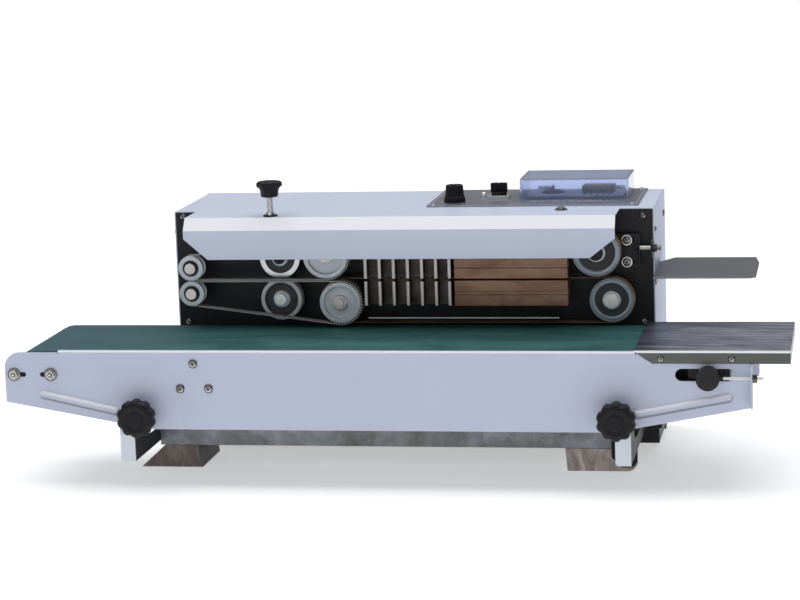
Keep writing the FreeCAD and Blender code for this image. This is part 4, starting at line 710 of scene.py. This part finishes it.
# ---- wheels, belts and bands
def wheel(node, body, profile, zones, slot="wheel_aluminium", segments=96, reshape=None):
    """Turned wheel, heights from its front; zones are (outer radius, finish), from the middle out."""
    low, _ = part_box(node)
    centre = centre_of(node)
    matrix = placed(Vector((centre.x, low.y, centre.z)), Y)
    work = bmesh.new()
    turn(work, profile + profile[:1], matrix, segments, reshape,
         lambda _, r: next((finish for outer, finish in zones if r < outer), 0))
    add_piece(node + "_turned", work, body, slot + " web_black pulley_pale rim_blue", node)


def band_wheel_profile(radius, bore, width, recess, depth=4.0):
    """Rim with a crown groove in its front face, a recessed web and a hub."""
    rim = radius - recess
    return rounded([(bore, 0), (10, 0), (10, depth), (rim, depth), (rim, 0), (radius - 2.2, 0), (radius - 1.7, 0.5),
                    (radius - 1.2, 0), (radius, 0), (radius, width), (rim, width), (rim, width - depth),
                    (10, width - depth), (10, width), (bore, width)], 0.45, 2)


def all_wheels():
    for node, body in (("upper_idler_wheel", "upper_idler"), ("lower_idler_wheel", "lower_idler")):
        low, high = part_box(node)
        radius, width = radius_of(node), (high.y - low.y) / MM
        wheel(node, body, band_wheel_profile(radius, 5.05, width, 5),
              [(10, 2), (radius - 5.4, 1), (radius - 3.9, 2), (radius + 1, 3)])
    for node, body in (("upper_drive_wheel", "upper_drive"), ("lower_drive_wheel", "lower_drive")):
        low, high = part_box(node)
        radius, depth = radius_of(node), (high.y - low.y) / MM
        guide = radius - 1
        back = depth - 15
        profile = rounded([(5, 0), (8, 0), (8, 4), (guide - 5, 4), (guide - 5, 0), (guide, 0), (guide, 10), (9, 10),
                           (9, back), (radius - 5, back), (radius, back), (radius, depth), (radius - 5, depth),
                           (radius - 5, depth - 4), (10, depth - 4), (10, depth), (5, depth)], 0.45, 2)
        wheel(node, body, profile, [(8, 0), (guide - 5.4, 2), (guide - 3.5, 0), (guide - 0.5, 2), (guide + 2, 3)])
    for node, body in (("upper_guide_pulley", "upper_guide"), ("lower_guide_pulley", "lower_guide")):
        profile = rounded([(4.05, 0), (6, 0), (6, 3.4), (9, 3.4), (9, 0), (13.9, 0), (13.9, 1.4), (12.2, 1.4),
                           (12.2, 12.4), (13.9, 12.4), (13.9, 13.8), (4.05, 13.8)], 0.3, 2)
        wheel(node, body, profile, [(5.5, 2), (9, 1), (20, 2)])


def press_wheels():
    """Knurled emboss wheel and the smooth silicone roller below it."""
    def knurl(angle, r, h):
        if r > 22.6 and 0.6 < h < 14.4:
            r -= 0.35 * (0.5 + 0.5 * cos(angle * 72 + h * 2.2))
        return r, h
    face = [(23, 0.6 + 0.6 * k) for k in range(24)]
    front = [(4.05, 0), (9, 0), (9, 3), (17, 3), (17, 0), (22.4, 0)]
    wheel("emboss_wheel", "emboss_wheel", [Vector(p) for p in front + face + [(22.4, 15), (4.05, 15)]],
          [(9.5, 2), (16.8, 1)], segments=288, reshape=knurl)
    tyre = rounded(front[:-1] + [(19, 0), (19, 0.3), (23, 0.3), (23, 14.7), (19, 15), (4.05, 15)], 0.5, 2)
    wheel("press_roller", "press_roller", tyre, [(9.5, 2), (18.8, 1)], "silicone_white")


def loop_points(c0, r0, c1, r1, step):
    """Points and outward normals, in the XZ plane, every step or so around two circles."""
    span = (c1 - c0).length
    base, lean = atan2(c1.y - c0.y, c1.x - c0.x), acos((r0 - r1) / span)
    run = sqrt(span * span - (r0 - r1) ** 2)
    sweep1, sweep0 = 2 * lean, tau - 2 * lean
    total = 2 * run + r1 * sweep1 + r0 * sweep0
    count = max(24, 4 * round(total / step / 4))
    points = []
    for k in range(count):
        s = total * k / count
        if s < run:
            angle, centre, radius, ahead = base + lean, c0, r0, s
        elif s < run + r1 * sweep1:
            angle, centre, radius, ahead = base + lean - (s - run) / r1, c1, r1, 0
        elif s < 2 * run + r1 * sweep1:
            angle, centre, radius, ahead = base - lean, c1, r1, s - run - r1 * sweep1
        else:
            angle, centre, radius, ahead = base - lean - (s - 2 * run - r1 * sweep1) / r0, c0, r0, 0
        normal = Vector((cos(angle), sin(angle)))
        points.append((centre + normal * radius + Vector((normal.y, -normal.x)) * ahead, normal))
    return points


def loop_mesh(work, points, section, finish_at=lambda index: 0):
    """Sweep a closed cross-section, given for each station as (out, along Y) in metres, round a loop."""
    rings = []
    for index, (point, normal) in enumerate(points):
        ring = []
        for out, y in section(index):
            spot = point + normal * out
            ring.append(work.verts.new((spot.x, y, spot.y)))
        rings.append(ring)
    for index, (ring, after) in enumerate(zip(rings, rings[1:] + rings[:1])):
        for k in range(len(ring)):
            j = (k + 1) % len(ring)
            work.faces.new((ring[k], ring[j], after[j], after[k])).material_index = finish_at(index)


def flat(point):
    return Vector((point.x, point.z))


def belt_section(y0, y1, thickness, crown, across=8):
    """Closed section with rounded edges; the outer face rises by the crown in its middle."""
    ease = thickness * 0.35
    outer = [(thickness + crown * (1 - (2 * k / across - 1) ** 2), y0 + ease + (y1 - y0 - 2 * ease) * k / across)
             for k in range(across + 1)]
    return [(ease, y0)] + [(thickness - ease, y0)] + outer + [(thickness - ease, y1), (ease, y1)] + [
        (0.0, y1 - ease), (0.0, y0 + ease)]


def conveyor_belt():
    """The wide green belt: a slow ripple across it and a slanted splice."""
    low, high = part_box("conveyor_belt")
    thickness = 1.5 * MM
    radius = (high.z - low.z) / 2 - thickness
    c0 = Vector((low.x + radius + thickness, centre_of("conveyor_belt").z))
    c1 = Vector((high.x - radius - thickness, c0.y))
    points = loop_points(c0, radius, c1, radius, 6 * MM)

    def section(index):
        base = belt_section(low.y, high.y, thickness, 0.0, 20)
        ripple = 0.12 * MM * sin(index * 0.21) * sin(index * 0.047)
        splice_at = 60
        rows = []
        for out, y in base:
            across = (y - low.y) / (high.y - low.y)
            near = abs(index - splice_at - across * 6) < 0.75
            sink = 0.35 * MM if near and out > thickness * 0.9 else 0.0
            rows.append((out + (ripple * sin(across * 7) if out > thickness * 0.9 else 0) - sink, y))
        return rows
    work = bmesh.new()
    loop_mesh(work, points, section)
    add_piece("conveyor_belt_fabric", work, "conveyor", "belt_green", "conveyor_belt")


def sealing_belts():
    """Both sealing bands, and both guide belts with fine teeth on the outside."""
    gap = 0.3 * MM
    low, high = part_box("seal_bands")
    work = bmesh.new()
    for left, right in (("upper_drive_wheel", "upper_idler_wheel"), ("lower_drive_wheel", "lower_idler_wheel")):
        radius = radius_of(right) * MM + gap
        points = loop_points(flat(centre_of(left)), radius, flat(centre_of(right)), radius, 3 * MM)
        loop_mesh(work, points, lambda index: belt_section(low.y, high.y, 0.5 * MM, 0.0, 4))
    add_piece("seal_bands_cloth", work, "root", "ptfe_band", "seal_bands")

    low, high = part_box("guide_belts")
    work = bmesh.new()
    for left, right in (("upper_guide_pulley", "upper_drive_wheel"), ("lower_guide_pulley", "lower_drive_wheel")):
        radius = radius_of(right) * MM - MM + gap
        points = loop_points(flat(centre_of(left)), 12.2 * MM + gap, flat(centre_of(right)), radius, 0.75 * MM)

        def toothed(index):
            tooth = (0.0, 0.55, 0.55, 0.0)[index % 4] * MM
            return [(0.15 * MM, low.y), (0.95 * MM + tooth, low.y), (0.95 * MM + tooth, high.y), (0.15 * MM, high.y)]
        # Tooth tops take the pale finish; flanks and grooves take painted shade.
        loop_mesh(work, points, toothed, lambda index: 0 if index % 4 == 1 else 1)
    add_piece("guide_belts_toothed", work, "root", "guide_belt belt_groove", "guide_belts", angle=25)


def pressure_spring():
    """Coil spring with closed ends."""
    low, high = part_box("pressure_spring")
    centre = (low + high) / 2
    wire = 0.65 * MM
    radius = (high.x - low.x) / 2 - wire
    turns, steps, sides = 3.2, 120, 10
    work = bmesh.new()
    rings = []
    for k in range(steps + 1):
        t = k / steps
        angle = tau * turns * t
        eased = min(1, max(0, (t - 0.12) / 0.76))
        out = Vector((cos(angle), sin(angle), 0))
        middle = Vector((*centre.xy, low.z + wire + (high.z - low.z - 2 * wire) * eased)) + out * radius
        rings.append([work.verts.new(middle + (out * cos(tau * s / sides) + Z * sin(tau * s / sides)) * wire)
                      for s in range(sides)])
    tube(work, rings)
    spring = add_piece("pressure_spring_coil", work, "root", "shaft_steel", "pressure_spring")
    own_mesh(spring)


# ---- knobs
def knob_blank(node):
    """A new bmesh, the foot of the node's axis, its height in mm, and a matrix at its foot."""
    low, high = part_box(node)
    foot = Vector((*centre_of(node).xy, low.z))
    return bmesh.new(), foot, (high.z - low.z) / MM, placed(foot, Z)


def lobes(count, depth, from_radius):
    """Reshape that pulls the rim in between its lobes."""
    def reshape(angle, r, h):
        share = min(1, max(0, r / from_radius - 0.55) / 0.45)
        valley = (0.5 + 0.5 * cos(angle * count)) ** 1.6
        return r - depth * valley * share, h
    return reshape


def clamp_knobs():
    """Ten-lobed hand knobs with a crowned rim, a dished face and a plugged centre."""
    for node in ("clamp_knob_left", "clamp_knob_right"):
        low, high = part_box(node)
        centre = centre_of(node)
        matrix = placed(Vector((centre.x, high.y, centre.z)), -Y)
        depth = (high.y - low.y) / MM
        neck = 11.0
        outline = [(4.05, 0), (9.2, 0), (10, 2), (10, neck), (17.5, neck), (20.5, neck + 1.6), (20.5, depth - 4.2),
                   (18.4, depth - 1.2), (15, depth), (9.5, depth - 0.9), (8.6, depth - 1.0), (8.4, depth - 0.3),
                   (4.0, depth), (0, depth)]
        work = bmesh.new()
        turn(work, rounded(outline, 1.3, 4), matrix, 160, lobes(10, 1.9, 20.5))
        add_piece(node + "_moulded", work, node, "black_plastic", node, angle=50)


def pressure_knob():
    """Eight-lobed knob on a threaded screw, with its washers."""
    radius = radius_of("pressure_knob")
    work, foot, top, matrix = knob_blank("pressure_knob")
    cap = [(0, top - 17), (9.2, top - 17), (10.4, top - 9.2), (12.2, top - 6.4), (radius, top - 5.6),
           (radius, top - 1.6), (radius - 1.8, top), (7, top), (6.4, top - 0.7), (0, top - 0.7)]
    turn(work, rounded(cap, 0.9, 3), matrix, 128, lobes(8, 1.4, radius))
    seat = (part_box("control_plate")[0].z - foot.z) / MM + 0.2  # top sheet of the casing
    for z0, r, t, finish in ((3.2, 7, 1.4, 1), (seat, 7.8, 1.3, 2), (seat + 1.3, 4.6, 2.6, 1)):
        turn(work, [(0, z0)] + rounded([(r, z0), (r, z0 + t)], 0.3) + [(0, z0 + t)], matrix, 40,
             finish_at=lambda *_: finish)
    thread = [(2.9, 0.0), (3.3, 0.5)]
    height = 0.5
    while height < top - 18:
        thread += [(3.27, height + 0.2), (3.08, height + 0.5), (3.27, height + 0.8)]
        height += 0.8
    turn(work, [(0, 0)] + thread + [(3.3, top - 16), (0, top - 16)], matrix, 28, finish_at=lambda *_: 3)
    add_piece("pressure_knob_moulded", work, "pressure_knob", "black_plastic screw_steel black_paint shaft_steel",
              "pressure_knob", angle=50)


def speed_knob():
    """Skirted knob with fluted grip, and a pointer with a white line."""
    work, foot, top, matrix = knob_blank("speed_knob")
    skirt = 12.0

    def flutes(angle, r, h):
        if h > skirt + 6.5 and r > 8.5:
            r -= 0.55 * (0.5 + 0.5 * cos(angle * 24)) ** 2
        return r, h
    outline = [(0, 0), (3, 0), (3, skirt), (12, skirt), (12, skirt + 3.2), (11.0, skirt + 6), (10.4, skirt + 6.6),
               (9.6, top - 1.6), (8.4, top - 0.9), (7.6, top - 1.4), (0, top - 1.4)]
    turn(work, rounded(outline, 0.6, 3), matrix, 144, flutes)
    front = foot + Z * top * MM
    soft_block(work, front + mm(-1.3, -9.6, -5.0), front + mm(1.3, -1.0, 0), 0.5)
    soft_block(work, front + mm(-0.35, -7.5, -0.3), front + mm(0.35, -2.5, 0.15), 0.1, 2, 1)
    add_piece("speed_knob_moulded", work, "speed_knob", "black_plastic print_white", "speed_knob", angle=45)


def selector_knob():
    """Grip-bar selector with finger hollows on both sides."""
    work, foot, top, matrix = knob_blank("selector_knob")
    base = 11.5
    turn(work, rounded([(0, 0), (5, 0), (5, base), (8.8, base), (8.5, base + 2.2), (7.9, base + 2.7),
                        (0, base + 2.7)], 0.4), matrix, 64)
    for k in range(9):
        x = -8 + 2 * k
        half = 2.5 + 1.4 * abs(k - 4) / 4
        soft_block(work, foot + mm(x - 1.15, -half, base + 2.3),
                   foot + mm(x + 1.15, half, top - 0.02 * (k - 4) ** 2), 0.5, 2)
    soft_block(work, foot + mm(-0.5, -3.2, top - 0.6), foot + mm(0.5, 3.2, top + 0.15), 0.12, 2, 1)
    add_piece("selector_knob_moulded", work, "selector_knob", "black_plastic print_white", "selector_knob", angle=45)


# ---- controls
def controller():
    """Controller under the lid: pale bezel, dial with ticks and lever, and a display block."""
    low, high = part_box("temperature_controller")
    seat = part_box("controller_lid")[0].z - 0.3 * MM
    work = bmesh.new()
    face = seat + 3 * MM
    soft_block(work, Vector((*low.xy, seat)), Vector((*high.xy, face)), 0.9)
    soft_block(work, low + mm(6, 6, 0), Vector((*high.xy, seat)) - mm(6, 6, 0), 1.2)
    left, right = Vector((high.x, low.y, face)) + mm(-48, 19, 0), high - mm(12, 14, 0)
    soft_block(work, left, right, 1.0, finish=1)
    soft_block(work, Vector((*left.xy, high.z)) + mm(5, 4, -0.3), right + mm(-5, -8, 0.25), 0.2, 2, 2)
    dial = Vector((low.x + 25 * MM, centre_of("temperature_controller").y, face))
    turn(work, rounded([(0, 0), (14, 0), (14, 0.8), (10, 1.0), (9, 3.0), (0, 3.2)], 0.5), placed(dial, Z), 64,
         finish_at=lambda *_: 1)
    soft_block(work, dial + mm(-1.6, -8, 3), dial + mm(1.6, 8, 7.2), 0.6, 3, 1)
    for k in range(13):
        angle = radians(210 - 20 * k)
        spot = dial + mm(cos(angle) * 17, sin(angle) * 17, 0.05)
        soft_block(work, spot - mm(0.4, 1.1, 0.4), spot + mm(0.4, 1.1, 0.1), 0.05, 1, 1)
    for k in range(5):
        spot = placed(left + mm(4 + 7 * k, -10, 0), Z)
        turn(work, rounded([(0, 0), (1.7, 0), (1.7, 0.9), (0, 1.1)], 0.3), spot, 24, finish_at=lambda *_: 1)
    add_piece("temperature_controller_face", work, "root", "case_grey black_plastic display",
              "temperature_controller")


def printed_marks():
    """Generic ticks on the control plate: a scale at each knob and a row of dashes in front."""
    low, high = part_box("control_plate")
    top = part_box("controller_lid")[0].z - 0.3 * MM
    work = bmesh.new()

    def dash(x, y, length, width, angle=0.0):
        place = Matrix.Translation((x, y, top + 0.03 * MM)) @ Matrix.Rotation(angle, 4, "Z")
        bmesh.ops.create_cube(work, size=MM, matrix=place @ Matrix.Diagonal((length, width, 0.06, 1)))

    for node, radius, ticks, sweep in (("speed_knob", 15.0, 11, 270), ("selector_knob", 17.0, 3, 90)):
        centre = centre_of(node)
        for k in range(ticks):
            angle = radians(90 - sweep / 2 + sweep * k / (ticks - 1))
            dash(centre.x + cos(angle) * radius * MM, centre.y + sin(angle) * radius * MM, 2.6, 0.7, angle)
    x, row = low.x + 112 * MM, low.y + 31 * MM
    while x < high.x - 30 * MM:
        length = random.uniform(1.4, 4.4)
        dash(x + length / 2 * MM, row, length, 4.2)
        x += (length + random.choice((1.0, 1.4, 3.8))) * MM
    for y in (low.y + 3 * MM, high.y - 3 * MM):
        dash((low.x + high.x) / 2, y, (high.x - low.x) / MM - 6, 0.5)
    for x in (low.x + 3 * MM, high.x - 3 * MM):
        dash(x, (low.y + high.y) / 2, 0.5, (high.y - low.y) / MM - 6)
    add_piece("control_marks", work, "root", "print_white")


# ---- rear details
def drive_chain():
    """The chain's own links, a copy of the CAD node's mesh baked in place of it."""
    at = {joint["name"]: Vector(joint["pos_m"]) for joint in frame["record"]["behaviour"]["joints"]
          if "pos_m" in joint}
    top, bottom = at["lower_drive_spin"], at["drive_roller_spin"]
    top.y = bottom.y
    piece = show("drive_chain_links", frame["nodes"]["drive_chain"].data.copy())
    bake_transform(piece)
    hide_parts("drive_chain")


def rear_details():
    """Pressed louvre hoods, the fan's finger guard and the inlet's screws."""
    low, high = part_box("rear_cover")
    back = high.y
    work = bmesh.new()
    louvres, pitch, first, middle = 25, 12 * MM, low.x + 52.6 * MM, high.z - 62.5 * MM
    hood = [(-2.6, 0.0), (-2.2, 0.9), (-0.8, 1.9), (1.0, 2.2), (2.4, 1.6), (2.9, 0.0)]
    stations = ((-25.5, 0.0), (-23, 0.8), (-20, 1), (20, 1), (23, 0.8), (25.5, 0.0))
    for k in range(louvres):
        left = first + k * pitch
        tube(work, [[work.verts.new((left + x * MM, back + (y * grow + 0.02) * MM, middle + z * MM)) for x, y in hood]
                    for z, grow in stations])
    add_piece("rear_louvres", work, "root", "white_paint")

    hub = centre_of("fan_impeller")
    hub.y = back
    work = bmesh.new()
    wire = 0.8
    for radius in (9, 18, 27, 36):
        section = [(radius + wire * cos(a), 2.0 + wire * sin(a)) for a in [tau * k / 10 for k in range(10)]]
        turn(work, section + section[:1], placed(hub, Y), 72)
    for k in range(4):
        angle = radians(45 + 90 * k)
        arm = Vector((cos(angle), 0, sin(angle)))
        turn(work, [(0, 0), (0.8, 0), (0.8, 33), (0, 33)], placed(hub + arm * 8 * MM + mm(0, 0.9, 0), arm), 12)
        screw = placed(hub + arm * 44 * MM, Y)
        pan_head(work, screw, 3.2, 2.0)
        washer(work, screw, 4.2, 2.0, 0.6)
    inlet = centre_of("power_inlet")
    inlet.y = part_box("power_inlet")[1].y
    for side in (-20, 20):
        pan_head(work, placed(inlet + mm(side, -0.4, 0), Y), 2.6, 1.4)
    add_piece("fan_guard", work, "root", "screw_steel")


all_fasteners()
all_wheels()
press_wheels()
conveyor_belt()
sealing_belts()
pressure_spring()
clamp_knobs()
pressure_knob()
speed_knob()
selector_knob()
controller()
printed_marks()
drive_chain()
rear_details()


# ---- stage, light and camera
NEAR_GLOW = 0.5


def floor():
    """Plain white floor that glows a little, more so far away, like a studio's lit ground."""
    bpy.ops.mesh.primitive_plane_add(size=60, location=(0, 0, 0))
    plane = bpy.context.object
    plane.name = "floor"
    mat = Finish(0.75)
    white = mat.ramp(mat.noise(1.5, 2), (0.3, 0.93), (0.7, 0.95))
    away = mat.node("ShaderNodeVectorMath", {0: mat.place}, operation="LENGTH").outputs["Value"]
    glow_at = mat.span(away, NEAR_GLOW, 0.85, 0.9, 2.6)
    plane.data.materials.append(mat.done(base_color=white, emission_color=white, emission_strength=glow_at))


def area_light(name, location, target, size, power, colour=(1, 1, 1)):
    data = bpy.data.lights.new(name, "AREA")
    data.shape = "RECTANGLE"
    data.size, data.size_y = size
    data.energy = power
    data.color = colour
    light = show(name, data)
    light.location = location
    light.rotation_euler = (Vector(target) - Vector(location)).to_track_quat("-Z", "Y").to_euler()


def lights():
    area_light("top_softbox", (0.0, 0.1, 2.2), (0, 0, 0.1), (3.2, 2.2), 45, (1.0, 0.99, 0.98))
    area_light("front_fill", (-0.6, -3.4, 1.3), (0, 0, 0.15), (2.6, 1.6), 5, (0.94, 0.97, 1.0))
    world = bpy.data.worlds.new("studio")
    world.use_nodes = True
    world.node_tree.nodes["Background"].inputs["Color"].default_value = (0.95, 0.975, 1.0, 1)
    world.node_tree.nodes["Background"].inputs["Strength"].default_value = 0.28
    bpy.context.scene.world = world
    bpy.context.scene.view_settings.view_transform = "Standard"


def camera():
    """The photographer's place: slightly right of the middle, looking a little down and left."""
    yaw, pitch, roll = -10.594, 10.012, -1.963
    turned = Matrix.Translation((0.48825, -2.6708, 0.658))
    for angle, axis in ((-yaw, "Z"), (90 - pitch, "X"), (roll, "Z")):
        turned = turned @ Matrix.Rotation(radians(angle), 4, axis)
    data = bpy.data.cameras.new("camera")
    data.sensor_width, data.lens = 36, 113.12
    data.clip_end = 60
    eye = show("camera", data)
    eye.matrix_world = turned
    bpy.context.scene.camera = eye


floor()
lights()
camera()
